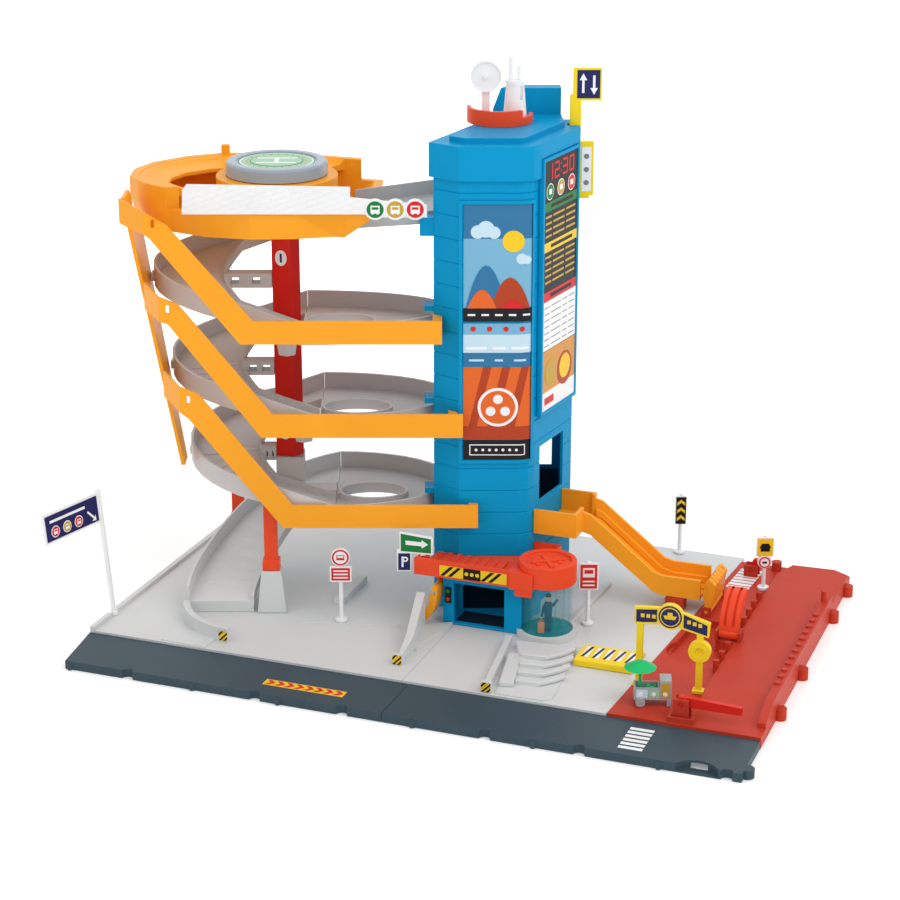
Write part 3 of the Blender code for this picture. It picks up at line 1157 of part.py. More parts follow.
def cut_now(shape, tool_shape):
    """A shape with another taken out of it, before more is joined to it."""
    item = mesh_object("cut_blank", [shape], "cutters", None, (0.0, 0.0, 0.0))
    tool = mesh_object("cut_tool", [tool_shape], "cutters", None, (0.0, 0.0, 0.0))
    step = item.modifiers.new("cut", "BOOLEAN")
    step.operation = "DIFFERENCE"
    step.object = tool
    step.solver = "EXACT"
    seen = item.evaluated_get(bpy.context.evaluated_depsgraph_get())
    made = bmesh.new()
    made.from_mesh(seen.to_mesh())
    seen.to_mesh_clear()
    for used in (item, tool):
        bpy.data.objects.remove(used, do_unlink=True)
    return made


def lift(frame):
    """The lift's platform in the shaft, and the handle outside that carries it through the slot."""
    rest = (0.0, 0.0, LIFT_TOP)
    low = LIFT_TOP - LIFT_THICK
    plan = inset(tower_outline(), TOWER_WALL + RUNNING_GAP)
    floor = common(prism(plan, low, LIFT_TOP + LIFT_LIP),
                   box((-0.1, 0.2), (-0.01, TOWER_SPLIT - 0.003), (low, 0.5)))
    well = prism(inset(tower_outline(), TOWER_WALL + RUNNING_GAP + 0.0015), LIFT_TOP, LIFT_TOP + 0.01)
    open_left = box((-0.05, 0.021), SHAFT_DOOR, (LIFT_TOP, LIFT_TOP + 0.01))
    open_front = box(GROUND_DOOR, (-0.01, 0.02), (LIFT_TOP, LIFT_TOP + 0.01))
    open_side = side_block(SIDE_DOOR_SPAN, LIFT_TOP, LIFT_TOP + 0.01, -0.02, 0.01)
    open_slot = box((0.05, 0.1), (HANDLE_SPAN[0] - GAP, HANDLE_SPAN[1] + GAP), (LIFT_TOP, LIFT_TOP + 0.01))
    piece("lift_platform", "bridge_grey", [floor], [well, open_left, open_front, open_side, open_slot],
          frame, rest)

    near, far = HANDLE_SPAN[0] + 2 * GAP, HANDLE_SPAN[1] - 2 * GAP
    arm = box((0.062, HANDLE_INNER + 0.002), (near, far), (LIFT_TOP + GAP, LIFT_TOP + GAP + HANDLE_ARM))
    grip = box((HANDLE_INNER, GRIP_OUTER), (near, far), GRIP)
    foot = box((HANDLE_INNER, GRIP_OUTER - 0.003), (near, far), (LIFT_TOP + GAP, GRIP[0] + 0.001))
    bar = box(HANDLE_BAR, (near, far), (GRIP[1] - 0.006, BAR_TOP))
    flag = box((HANDLE_BAR[0] + 0.002, FLAG_OUTER), (near, near + FLAG_THICK), FLAG)
    piece("lift_handle", "yellow", [grip, arm, foot, bar, flag], (), frame, rest)


def platforms(frame):
    """The three parking levels: a half oval with a rim, and a round collar about its hole."""
    for number in range(3):
        floor = level(number)
        half = TRACK_HALF[number]
        seam = TRACK_SEAM[number]
        reach = PLATFORM_REACH - seam
        centre = (seam, TRACK_MIDDLE)
        outer = ellipse(centre, (reach, half), -90.0, 90.0, PLATFORM_STEPS)
        inner = ellipse(centre, (reach - WALL, half - WALL), -90.0, 90.0, PLATFORM_STEPS)
        well = [(seam - 0.01, TRACK_MIDDLE - half + WALL)] + inner + [(seam - 0.01,
                                                                       TRACK_MIDDLE + half - WALL)]
        tray = cut_now(prism(outer, floor - TRACK_THICK, floor + TRACK_RIM), prism(well, floor, floor + 0.05))
        ring = (seam + RING_OFFSET, TRACK_MIDDLE - RING_BACK)
        collar_size = (RING_SIZE[0] + RING_WALL, RING_SIZE[1] + RING_WALL)
        collar = prism(ellipse(ring, collar_size, 0.0, 345.0, 23), floor - TRACK_THICK, floor + RING_HEIGHT)
        hole = prism(ellipse(ring, RING_SIZE, 0.0, 345.0, 23), floor - 0.01, floor + 0.02)
        stop = box((seam, seam + WALL), (TRACK_MIDDLE - TRACK_HOLE, TRACK_MIDDLE + TRACK_HOLE),
                   (floor - TRACK_THICK, floor + TRACK_CURB))
        gate = box((TOWER_FACET[0] - 0.008, 0.05), TONGUE, (floor, floor + 0.05))
        tongue = box((TOWER_FACET[0], 0.03), TONGUE, (floor - TRACK_THICK, floor))
        facet = prism(tower_outline(2 * GAP), floor - 0.02, floor + 0.05)
        piece(f"platform_{number + 1}", "track_grey", [cut_now(tray, gate), collar, stop, tongue],
              [hole, facet], frame)


def track_section(inner, outer, floor, rim=TRACK_RIM, curb=TRACK_CURB):
    """One cross-section of a track channel, from its inner edge to its outer edge."""
    across = (Vector(outer) - Vector(inner)).normalized()
    near = Vector(inner)
    far = Vector(outer)
    inner_wall = near + across * WALL
    outer_wall = far - across * WALL
    under = floor - TRACK_THICK
    return [(near.x, near.y, under), (far.x, far.y, under), (far.x, far.y, floor + rim),
            (outer_wall.x, outer_wall.y, floor + rim), (outer_wall.x, outer_wall.y, floor),
            (inner_wall.x, inner_wall.y, floor), (inner_wall.x, inner_wall.y, floor + curb),
            (near.x, near.y, floor + curb)]


def ramp_sections(number):
    """The sections of one ramp, from the level above at the back round the end to its own level."""
    turn = TRACK_LEFT[number] + TRACK_END
    start = TRACK_SEAM[number + 1] - GAP
    stop = TRACK_SEAM[number] - GAP
    stations = [("back", start), ("back", (start + turn) / 2)]
    stations += [("arc", 90.0 + 180.0 * index / TRACK_STEPS) for index in range(TRACK_STEPS + 1)]
    stations += [("front", turn + (stop - turn) * share) for share in (0.34, 0.67, 1.0)]
    middles = []
    edges = []
    for kind, value in stations:
        share = len(edges) / (len(stations) - 1)
        half = TRACK_HALF[number + 1] + (TRACK_HALF[number] - TRACK_HALF[number + 1]) * share
        if kind == "arc":
            angle = math.radians(value)
            inner = (turn + TRACK_HOLE * math.cos(angle), TRACK_MIDDLE + TRACK_HOLE * math.sin(angle))
            outer = (turn + TRACK_END * math.cos(angle), TRACK_MIDDLE + half * math.sin(angle))
        else:
            side = 1.0 if kind == "back" else -1.0
            inner = (value, TRACK_MIDDLE + side * TRACK_HOLE)
            outer = (value, TRACK_MIDDLE + side * half)
        edges.append((inner, outer))
        middles.append((Vector(inner) + Vector(outer)) / 2)
    run = [0.0]
    for before, after in zip(middles, middles[1:]):
        run.append(run[-1] + (after - before).length)
    low = level(number)
    sections = []
    for (inner, outer), distance in zip(edges, run):
        sections.append(track_section(inner, outer, low + PITCH * (1.0 - distance / run[-1])))
    return sections


def ramps(frame):
    for number in range(3):
        sections = ramp_sections(number)
        shapes = [loft(sections)]
        cuts = []
        turn = TRACK_LEFT[number] + TRACK_END
        end = 2 + TRACK_STEPS // 2
        mid_floor = sections[end][5][2]
        column_left = COLUMN[0][0] - GAP
        link_low = mid_floor - LINK_HEIGHT + TRACK_CURB - 0.001
        shapes.append(box((turn - TRACK_HOLE - WALL * 0.5, column_left), LINK_SPAN,
                          (link_low, link_low + LINK_HEIGHT)))
        link_start = turn - TRACK_HOLE + 0.003
        pitch = (column_left - link_start) / 2
        for index in range(2):
            left = link_start + pitch * index + 0.001
            cuts.append(box((left, left + min(LINK_WINDOW, pitch - 0.003)),
                            (LINK_SPAN[0] - 0.01, LINK_SPAN[1] + 0.01),
                            (link_low + 0.003, link_low + LINK_HEIGHT - 0.003)))
        lug_low = mid_floor - 0.002
        lug_left = fin_edge(lug_low) + FIN_THICK + GAP
        shapes.append(box((lug_left, TRACK_LEFT[number] + 0.002), (0.050, 0.060), (lug_low, lug_low + 0.006)))
        middle = (TRACK_SEAM[number] - 0.012, TRACK_MIDDLE - TRACK_HOLE - 0.0085)
        if number:
            under = level(number) - TRACK_THICK
            shapes.append(cone(middle, under - KNUCKLE_DROP, under + 0.004, KNUCKLE_HALF * 0.7,
                               KNUCKLE_HALF, 6))
        else:
            foot_top = COLUMN_FOOT - GAP
            centre = ((COLUMN[0][0] + COLUMN[2][0]) / 2, TRACK_MIDDLE)
            half = FOOT_BLOCK_HALF
            shapes.append(box((centre[0] - half, centre[0] + half), (centre[1] - half, centre[1] + half),
                              (level(0) + 0.006, foot_top)))
            shapes.append(box((centre[0] - half - 0.001, TRACK_SEAM[0] - GAP),
                              (TRACK_MIDDLE - TRACK_HOLE - 0.001,
                               TRACK_MIDDLE + 0.003), (level(0) - TRACK_THICK, level(0) + 0.007)))
        if number == 2:
            cuts.append(box((-0.3, 0.0), (-0.05, 0.2), (DECK_BOTTOM - GAP, 0.4)))
        piece(f"ramp_{number + 1}", "track_grey", shapes, cuts, frame, smooth=25.0)


def exit_ramp(frame):
    """The last ramp: a quarter turn from the first level's back down to the base."""
    seam = TRACK_SEAM[0] - GAP
    sections = []
    for index in range(EXIT_STEPS + 1):
        share = index / EXIT_STEPS
        angle = math.radians(90.0 + 90.0 * share)
        bow = EXIT_BOW * math.sin(2.0 * angle - math.pi)
        inner = (seam + EXIT_INNER[0] * math.cos(angle), EXIT_INNER[1] * math.sin(angle) - bow)
        outer = (seam + EXIT_OUTER[0] * math.cos(angle), EXIT_OUTER[1] * math.sin(angle))
        ease = share - 0.07 * math.sin(2.0 * math.pi * share)
        floor = LEVEL_1 + (EXIT_TOE - LEVEL_1) * ease
        sections.append(track_section(inner, outer, floor))
    skirt = box((seam - EXIT_OUTER[0] + GAP, seam - EXIT_INNER[0] - GAP), (0.0, 0.003),
                (PLATE_HEIGHT + GAP, EXIT_TOE - 0.001))
    piece("exit_ramp", "cool_grey", [loft(sections), skirt], frame=frame, smooth=25.0)


def fin_edge(height):
    """The outer u of the leaning fin at a height."""
    return FIN_BOTTOM_U - (height - FIN_BOTTOM) * FIN_SLOPE


def fin_and_arms(frame):
    top = DECK_BOTTOM - GAP
    outline = [(FIN_FRONT, FIN_BOTTOM), (FIN_BOTTOM_BACK, FIN_BOTTOM), (FIN_TOP_BACK, top),
               (FIN_HORN_BACK, top),
               (FIN_HORN_BACK, FIN_HORN_TOP), (FIN_FRONT, FIN_HORN_TOP)]
    lean = Matrix.Identity(4)
    lean[0][2] = -FIN_SLOPE
    lean[0][3] = fin_edge(0.0)
    piece("side_fin", "orange", [placed(side_on(outline, 0.0, FIN_THICK), lean)], frame=frame)
    front, back = ARM_FRONT, ARM_FRONT + ARM_THICK
    for number, name in enumerate(ARM_NAMES):
        low, high = ARM_LEVELS[number]
        end = ARM_ENDS[number]
        low_kink, high_kink = ARM_KINKS[number]
        knee_u, knee_z, upper_u, upper_z = ARM_KNEES[number]
        wrap_u, wrap_low, wrap_high = ARM_WRAPS[number]
        turn_u = (knee_u + upper_u) / 2 - 0.010
        turn_low = (knee_z + wrap_low) / 2
        turn_high = wrap_high - 0.004
        edges = (((end, low), (end, high), 0.0), ((low_kink, low), (high_kink, high), 0.0),
                 ((knee_u, knee_z), (upper_u, upper_z), 0.0),
                 ((turn_u, turn_low), (turn_u, turn_high), 0.0), ((wrap_u, wrap_low), (wrap_u, wrap_high),
                                                                  1.0))
        rings = []
        for (low_u, low_z), (high_u, high_z), wrapped in edges:
            shift = wrapped * (FIN_FRONT - GAP - back)
            skew = wrapped * FIN_THICK * 0.4
            near, far = front + shift, back + shift
            rings.append([(low_u, near, low_z), (high_u, near, high_z), (high_u + skew, far, high_z),
                          (low_u + skew, far, low_z)])
        root = end if low < POSTER_BOTTOM else min(end, -0.0012)
        tab = [(root - ARM_TAB, back - 0.001), (root, back - 0.001), (root, facet_line(root)),
               (root - ARM_TAB, facet_line(root - ARM_TAB))]
        slot = ((knee_u + upper_u) / 2 - 0.004, (turn_low + turn_high) / 2)
        window = box((slot[0] - ARM_SLOT[0] / 2, slot[0] + ARM_SLOT[0] / 2), (front - 0.002, back + 0.004),
                     (slot[1] - ARM_SLOT[1] / 2, slot[1] + ARM_SLOT[1] / 2))
        piece(name, "orange", [loft(rings), prism(tab, low + 0.001, high - 0.001)], [window], frame)


def facet_line(u):
    """How far back an arm's tab may reach before it meets the tower."""
    if u >= 0.0:
        return -2 * GAP
    return -u * TOWER_FACET[1] / -TOWER_FACET[0] - 3 * GAP


def deck(frame):
    """The top deck: a hull-shaped tray with a low front, a high rim behind and the helipad's post."""
    hull = [[(u, v, DECK_BOTTOM) for u, v in DECK_FOOT_LINE],
            [(u, v, DECK_FRONT_TOP) for u, v in DECK_TOP_LINE],
            [(u, v, DECK_RIM_TOP) for u, v in DECK_TOP_LINE]]
    floor_line = inset_any(DECK_FOOT_LINE, 0.0035)
    rim_line = inset_any(DECK_TOP_LINE, DECK_RIM)
    well = [[(u, v, DECK_FLOOR) for u, v in floor_line], [(u, v, DECK_FRONT_TOP) for u, v in rim_line],
            [(u, v, DECK_RIM_TOP + 0.01) for u, v in rim_line]]
    low_front = [(-0.30, -0.05), (-0.05, -0.05), (-0.05, 0.20), (-0.075, 0.20), (-0.075, 0.105),
                 (-0.085, 0.030),
                 (-0.212, 0.030), (-0.236, 0.012)]
    cuts = [loft(well), prism(low_front, DECK_FRONT_TOP, 0.4)]
    tray = cut_now(cut_now(loft(hull), cuts[0]), cuts[1])
    right_gate = box((-0.095, -0.05), (BRIDGE_FRONT - 0.001, BRIDGE_BACK + 0.001), (DECK_FLOOR, 0.4))
    tray = cut_now(tray, right_gate)
    hub = disc(HELIPAD_CENTRE, HELIPAD_HUB, DECK_BOTTOM, HELIPAD_BOTTOM - GAP, 24)
    pin = disc(HELIPAD_CENTRE, HELIPAD_PIN, HELIPAD_BOTTOM - 0.002, HELIPAD_BOTTOM + 0.005, 20)
    ledge = disc(HELIPAD_CENTRE, HELIPAD_RING, HELIPAD_BOTTOM - 0.004, HELIPAD_BOTTOM - GAP, 8)
    knob = disc(DECK_KNOB, KNOB_RADIUS, DECK_RIM_TOP - 0.001, KNOB_TOP, 12)
    left, right, near, far = DECK_HOLE
    mouth = box((left, right), (near, far), (DECK_BOTTOM - 0.01, DECK_FLOOR + 0.01))
    tray = cut_now(tray, mouth)
    piece("top_deck", "orange", [tray, hub, pin, ledge, knob], frame=frame)

    pad = disc(HELIPAD_CENTRE, HELIPAD_RADIUS, HELIPAD_BOTTOM, HELIPAD_TOP, 48)
    bore = disc(HELIPAD_CENTRE, HELIPAD_PIN + GAP, HELIPAD_BOTTOM - 0.01, HELIPAD_BOTTOM + 0.0055, 20)
    piece("helipad", "silver", [pad], [bore], frame, (*HELIPAD_CENTRE, HELIPAD_BOTTOM))


def inset_any(outline, distance):
    """An outline moved inwards, also where it bends the other way."""
    return inset(list(outline), distance if signed_area(outline) > 0.0 else -distance)


def signed_area(outline):
    total = 0.0
    for (x, y), (next_x, next_y) in zip(outline, (*outline[1:], outline[0])):
        total += x * next_y - next_x * y
    return total / 2


def parapet_and_bridge(frame):
    near, far = PARAPET_LINE, PARAPET_LINE + PARAPET_THICK
    seat = DECK_FRONT_TOP + GAP
    wall = [(PARAPET_LEFT, seat), (PARAPET_STEP, seat), (PARAPET_STEP, PARAPET_HEIGHT - 0.001),
            (PARAPET_LEFT + 0.004, PARAPET_HEIGHT + 0.001), (PARAPET_LEFT + 0.001, PARAPET_HEIGHT - 0.003)]
    strip = [(PARAPET_STEP - 0.001, seat), (STRIP_BREAK, seat), (STRIP_BREAK, STRIP_BOTTOM),
             (PARAPET_END, STRIP_BOTTOM),
             (PARAPET_END, BADGE_MIDDLE + 0.003), (STRIP_BREAK, BADGE_MIDDLE + 0.006),
             (PARAPET_STEP - 0.001, BADGE_MIDDLE + 0.0085)]
    shapes = [upright(wall, near, far), upright(strip, near, far)]
    for u in BADGES:
        shapes.append(rod_along_y(u, BADGE_MIDDLE, BADGE_RADIUS, near - BADGE_PROUD, near + WALL * 0.8, 24))
    piece("parapet", "white", shapes, (), frame)

    left = BRIDGE_LEFT
    middle = TOWER_FACET[0]
    right = left_wall(BRIDGE_BACK) + 0.002
    under = BRIDGE_LEFT_TOP - 0.003
    shapes = []
    for rise, near, far in ((0.0, BRIDGE_FRONT, BRIDGE_BACK), (BRIDGE_GUARD, BRIDGE_BACK - WALL, BRIDGE_BACK),
                            (0.003, BRIDGE_FRONT, BRIDGE_FRONT + WALL)):
        section = [(left, under), (middle, under + 0.004), (right, under + 0.004),
                   (right, BRIDGE_RIGHT_TOP + rise),
                   (middle, BRIDGE_RIGHT_TOP + rise), (left, BRIDGE_LEFT_TOP + rise)]
        shapes.append(upright(section, near, far))
    off_wall = prism(tower_outline(2 * GAP), 0.2, 0.4)
    piece("bridge", "bridge_grey", shapes, [off_wall], frame)


def column(frame):
    piece("core_column", "red", [prism(COLUMN, COLUMN_FOOT, DECK_BOTTOM - GAP)], frame=frame)


def tapered_block(centre, foot, head, low, high):
    """A block whose plan shrinks from its foot to its head."""
    rings = []
    for (half_x, half_y), height in ((foot, low), (head, high)):
        rings.append([(centre[0] - half_x, centre[1] - half_y, height),
                      (centre[0] + half_x, centre[1] - half_y, height),
                      (centre[0] + half_x, centre[1] + half_y, height), (centre[0] - half_x,
                                                                         centre[1] + half_y, height)])
    return loft(rings)


def track_height_at(number, spot):
    """The lowest floor height of a ramp near a plan spot."""
    heights = []
    for section in ramp_sections(number):
        near, far = Vector(section[0][:2]), Vector(section[1][:2])
        along = far - near
        share = max(0.0, min(1.0, (Vector(spot) - near).dot(along) / along.length_squared))
        heights.append(((near + along * share - Vector(spot)).length, section[5][2]))
    heights.sort()
    return min(height for _, height in heights[:2])


def legs(frame):
    for name, spot, head_top in (("front", FRONT_LEG, FRONT_PEDESTAL_TOP),
                                 ("rear", REAR_LEG, REAR_PEDESTAL_TOP)):
        foot = PLATE_HEIGHT + GAP
        socket = box((spot[0] - LEG_HALF[0] - GAP, spot[0] + LEG_HALF[0] + GAP),
                     (spot[1] - LEG_HALF[1] - GAP, spot[1] + LEG_HALF[1] + GAP), (head_top - LEG_SOCKET,
                                                                                  head_top + 0.01))
        piece(f"{name}_pedestal", "cool_grey",
              [tapered_block(spot, PEDESTAL_FOOT, PEDESTAL_HEAD, foot, head_top)],
              [socket], frame)
        top = track_height_at(0, spot) - TRACK_THICK - 6 * GAP
        post = box((spot[0] - LEG_HALF[0], spot[0] + LEG_HALF[0]),
                   (spot[1] - LEG_HALF[1], spot[1] + LEG_HALF[1]),
                   (head_top - LEG_SOCKET + GAP, top))
        collar = box((spot[0] - LEG_HALF[0] - 0.0015, spot[0] + LEG_HALF[0] + 0.0015),
                     (spot[1] - LEG_HALF[1] - 0.0015, spot[1] + LEG_HALF[1] + 0.0015), (head_top + GAP,
                                                                                        head_top + 0.008))
        piece(f"{name}_leg", "coral", [post, collar], frame=frame)


def slide():
    left, right, front, back = SLIDE_BOX
    floor = SLIDE_FLOOR
    under = floor - SLIDE_THICK
    tray = box((left, right), (front, back), (under, SLIDE_WALL_TOP))
    start_x, start_y, _ = SLIDE_STATIONS[0]
    well = box((left - 0.01, right - SLIDE_THICK), (front + SLIDE_THICK, back - SLIDE_THICK), (floor, 0.2))
    mouth = box((right - 0.02, right + 0.02),
                (start_y - SLIDE_HALF + SLIDE_THICK, start_y + SLIDE_HALF - SLIDE_THICK),
                (floor, 0.2))
    tray = cut_now(cut_now(tray, well), mouth)
    rings = []
    for x, y, height in SLIDE_STATIONS:
        near, far = y - SLIDE_HALF, y + SLIDE_HALF
        low, top = height - SLIDE_THICK, height + SLIDE_SIDE
        rings.append([(x, near, low), (x, far, low), (x, far, top), (x, far - SLIDE_THICK, top),
                      (x, far - SLIDE_THICK, height), (x, near + SLIDE_THICK,
                                                       height), (x, near + SLIDE_THICK, top),
                      (x, near, top)])
    off_wall = placed(prism(tower_outline(2 * GAP), 0.0, 0.2), tower_matrix())
    end_x, end_y, end_z = SLIDE_STATIONS[-1]
    piece("slide_chute", "orange", [loft(rings), tray], [off_wall])
    x, y = SLIDE_FOOT
    half = SLIDE_FOOT_HALF
    flat_x, _, flat_z = SLIDE_STATIONS[-2]
    share = (x + half - flat_x) / (end_x - flat_x)
    foot_top = flat_z + (end_z - flat_z) * share - SLIDE_THICK - GAP
    piece("slide_support", "pier_red",
          [box((x - half, x + half), (y - half, y + half), (PLATE_HEIGHT + GAP, foot_top))])


def cart():
    """The small cart: a tray on wheels at one end and feet at the other, with a sunshade set in it."""
    x, y = CART
    turn = turned_at(CART, CART_TURN)
    half_length, half_width = CART_LENGTH / 2, CART_WIDTH / 2
    body = box((x - half_length, x + half_length), (y - half_width, y + half_width), (CART_BOTTOM, CART_TOP))
    split = x + half_length - CART_BACK_LENGTH
    well = box((x - half_length + 0.0013, split - 0.0013), (y - half_width + 0.0013, y + half_width - 0.0013),
               (CART_TOP - CART_WELL, CART_TOP + 0.01))
    back = box((split, x + half_length), (y - half_width, y + half_width), (CART_TOP - 0.002, CART_BACK_TOP))
    pole_x = x + UMBRELLA_SET[0]
    pole_y = y + UMBRELLA_SET[1]
    pole_low = CART_TOP - CART_WELL - 0.003
    socket = disc((pole_x, pole_y), UMBRELLA_POLE + GAP, pole_low - 0.0005, CART_TOP, 12)
    axle_x = x - half_length + AXLE_INSET
    axle_z = PIER_SLAB + GAP + WHEEL_RADIUS
    ear = 0.0015
    shapes = [body, back]
    for side in (-1.0, 1.0):
        outer = y + side * half_width
        shapes.append(box((axle_x - 0.0022, axle_x + 0.0022), sorted((outer, outer - side * ear)),
                          (axle_z - AXLE_RADIUS - 0.0012, CART_BOTTOM + 0.001)))
        shapes.append(box((x + half_length - 0.003, x + half_length), sorted((outer, outer - side * 0.002)),
                          (PIER_SLAB + GAP, CART_BOTTOM + 0.001)))
    bore = rod_along_y(axle_x, axle_z, AXLE_RADIUS + GAP, y - half_width - 0.001, y + half_width + 0.001, 12)
    pivot = (x, y, PIER_SLAB)
    cuts = [placed(cut, turn) for cut in (well, socket, bore)]
    piece("cart_body", "cart_grey", [placed(shape, turn) for shape in shapes], cuts, pivot=pivot)
    inner = half_width + GAP
    wheels = [rod_along_y(axle_x, axle_z, AXLE_RADIUS, y - inner - WHEEL_WIDTH, y + inner + WHEEL_WIDTH, 12),
              rod_along_y(axle_x, axle_z, WHEEL_RADIUS, y - inner - WHEEL_WIDTH, y - inner, 20),
              rod_along_y(axle_x, axle_z, WHEEL_RADIUS, y + inner, y + inner + WHEEL_WIDTH, 20)]
    axle = turn @ Vector((axle_x, y, axle_z))
    piece("cart_wheels", "cart_grey", [placed(wheel, turn) for wheel in wheels], pivot=tuple(axle))
    spot = (pole_x, pole_y)
    pole = disc(spot, UMBRELLA_POLE, pole_low, UMBRELLA_TOP - 0.002, 12)
    shade = cone(spot, UMBRELLA_EDGE, UMBRELLA_TOP, UMBRELLA_RADIUS, 0.0015, 12)
    hollow = cone(spot, UMBRELLA_EDGE - 0.0012, UMBRELLA_TOP - 0.0025, UMBRELLA_RADIUS, 0.0015, 12)
    shapes = [cut_now(shade, hollow), pole]
    piece("umbrella", "green", [placed(shape, turn) for shape in shapes], pivot=pivot)


def signs():
    turn = Matrix.Rotation(math.radians(TOWER_TURN), 4, "Z")
    for name, (x, y, ground, top, plates) in SIGNS.items():
        foot = ground + GAP
        shapes = [disc((0.0, 0.0), POLE_RADIUS, foot, top, 12),
                  disc((0.0, 0.0), SIGN_FOOT, foot, foot + SIGN_FOOT_HEIGHT, 16)]
        near, far = -SIGN_THICK, 0.0
        for height, half_width, half_height, is_round in plates:
            if is_round:
                shapes.append(rod_along_y(0.0, height, half_width, near, far, 24))
            else:
                shapes.append(box((-half_width, half_width), (near, far),
                                  (height - half_height, height + half_height)))
        place = Matrix.Translation((x, y, 0.0)) @ turn
        piece(name, "white", [placed(shape, place) for shape in shapes])
    x, y = LEFT_SIGN
    foot = PLATE_HEIGHT + GAP
    panel = box((x - 0.0005, x + 0.0017), (y - LEFT_SIGN_LENGTH, y), (LEFT_SIGN_BOTTOM, LEFT_SIGN_TOP))
    shapes = [disc((x + 0.0006, y), POLE_RADIUS + 0.0003, foot, LEFT_SIGN_TOP + 0.002, 12), panel,
              disc((x + 0.0006, y), 0.0030, foot, foot + 0.002, 16)]
    lean = Matrix.Translation((x, y, foot)) @ Matrix.Rotation(math.radians(-LEFT_SIGN_TURN), 4, "Z")
    lean = lean @ Matrix.Rotation(math.radians(-LEFT_SIGN_LEAN), 4, "Y") @ Matrix.Translation((-x, -y, -foot))
    level_foot = disc((x + 0.0006, y), 0.0028, foot, foot + 0.003, 16)
    piece("left_sign", "white", [placed(shape, lean) for shape in shapes[:2]] + [level_foot])
    px, py = in_tower(*PARKING_SIGN)
    low, high, right, left = PARKING_ROUTE
    plate_low, plate_high, half = PARKING_PLATE
    near, far = py - SIGN_THICK, py
    seat = CANOPY_TOP + GAP
    frame_matrix = tower_matrix()
    outline = [(px - 0.0145, low), (px + right - 0.003, low - 0.003), (px + right - 0.003, high - 0.0045),
               (px - 0.0145, high)]
    shapes = [upright(outline, near, far)]
    shapes.append(box((px - 0.0165, px - 0.0055), (near, far), (plate_low, low + 0.002)))
    shapes.append(box((px + 0.001, px + 0.005), (near, near + 0.006), (seat, low + 0.001)))
    piece("parking_sign", "white", [placed(shape, frame_matrix) for shape in shapes])


def build():
    frame = reset()
    roads()
    base_plates()
    pier()
    front_barrier()
    rear_barrier()
    boat_lever()
    claw_gate()
    hump_plate()
    arch()
    entrance()
    door_scoop()
    canopy()
    booth()
    tower(frame)
    tower_cap(frame)
    posters(frame)
    roof_pieces(frame)
    lift(frame)
    platforms(frame)
    ramps(frame)
    exit_ramp(frame)
    column(frame)
    fin_and_arms(frame)
    deck(frame)
    parapet_and_bridge(frame)
    legs(frame)
    slide()
    cart()
    signs()


build()
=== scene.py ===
"""The looks of the toy parking garage: moulded plastics, printed labels and the small shaped details.

Metres, +Z up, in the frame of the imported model. Points of the tower are (u, v), as in the part's source.
"""
import json
import math

import bmesh
import bpy
from mathutils import Matrix, Vector

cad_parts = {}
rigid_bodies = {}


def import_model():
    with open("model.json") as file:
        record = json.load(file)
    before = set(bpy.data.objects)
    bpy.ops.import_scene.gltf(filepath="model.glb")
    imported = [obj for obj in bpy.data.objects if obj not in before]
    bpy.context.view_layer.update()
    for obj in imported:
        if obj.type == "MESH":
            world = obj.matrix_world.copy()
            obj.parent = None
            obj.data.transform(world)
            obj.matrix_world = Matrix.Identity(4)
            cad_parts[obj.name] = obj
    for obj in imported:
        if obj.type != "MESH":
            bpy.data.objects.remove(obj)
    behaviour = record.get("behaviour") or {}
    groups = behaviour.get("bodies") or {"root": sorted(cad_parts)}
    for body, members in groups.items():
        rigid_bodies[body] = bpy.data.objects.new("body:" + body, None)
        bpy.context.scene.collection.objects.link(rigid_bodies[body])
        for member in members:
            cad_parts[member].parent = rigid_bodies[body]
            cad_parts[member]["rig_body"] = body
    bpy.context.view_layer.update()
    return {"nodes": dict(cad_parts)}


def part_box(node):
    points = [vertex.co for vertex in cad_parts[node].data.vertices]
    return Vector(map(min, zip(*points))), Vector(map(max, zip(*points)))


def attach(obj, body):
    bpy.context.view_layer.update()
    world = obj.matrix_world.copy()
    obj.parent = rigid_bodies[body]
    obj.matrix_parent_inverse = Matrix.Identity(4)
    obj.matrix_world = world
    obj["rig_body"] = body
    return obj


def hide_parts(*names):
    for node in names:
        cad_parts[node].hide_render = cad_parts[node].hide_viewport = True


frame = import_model()
NODES = frame["nodes"]

# The camera of the photograph
CAMERA_SPOT = (0.5520, -1.5138, 0.7110)
CAMERA_AZIMUTH = 20.6
CAMERA_ELEVATION = 19.5
CAMERA_LENS = 92.0

# The tower's place on the base
TOWER_CORNER = (-0.0096, -0.0001)
TOWER_TURN = 20.6
FRONT_PATH = ((0.0, 0.0), (0.045, 0.0), (0.0515, 0.0022), (0.056, 0.008))
SIDE_START = (0.056, 0.008)
SIDE_END = (0.087, 0.068)
TOWER_MIDDLE = (0.030, 0.055)

# The landing pad, in the tower's own (u, v), and the height of its top
PAD_MIDDLE = (-0.136, 0.072)
PAD_TOP = 0.342

# Heights of the flat ground
PLATE_TOP = 0.0078
PIER_TOP = 0.0085

# Moulding details: the thickness of one printed layer, the edges' radii and the tower's grooves
LABEL = 0.00012
EDGE = 0.00045
FINE_EDGE = 0.0003
FINEST_EDGE = 0.0002
GROOVE_START = 0.046
GROOVE_STOP = 0.004
GROOVE_PITCH = 0.0175
GROOVE_HALF = 0.0006
GROOVE_DEPTH = 0.0007

# Distances below which a cut or a merge takes two points as one
CUT = 1e-7
SAME = 1e-6

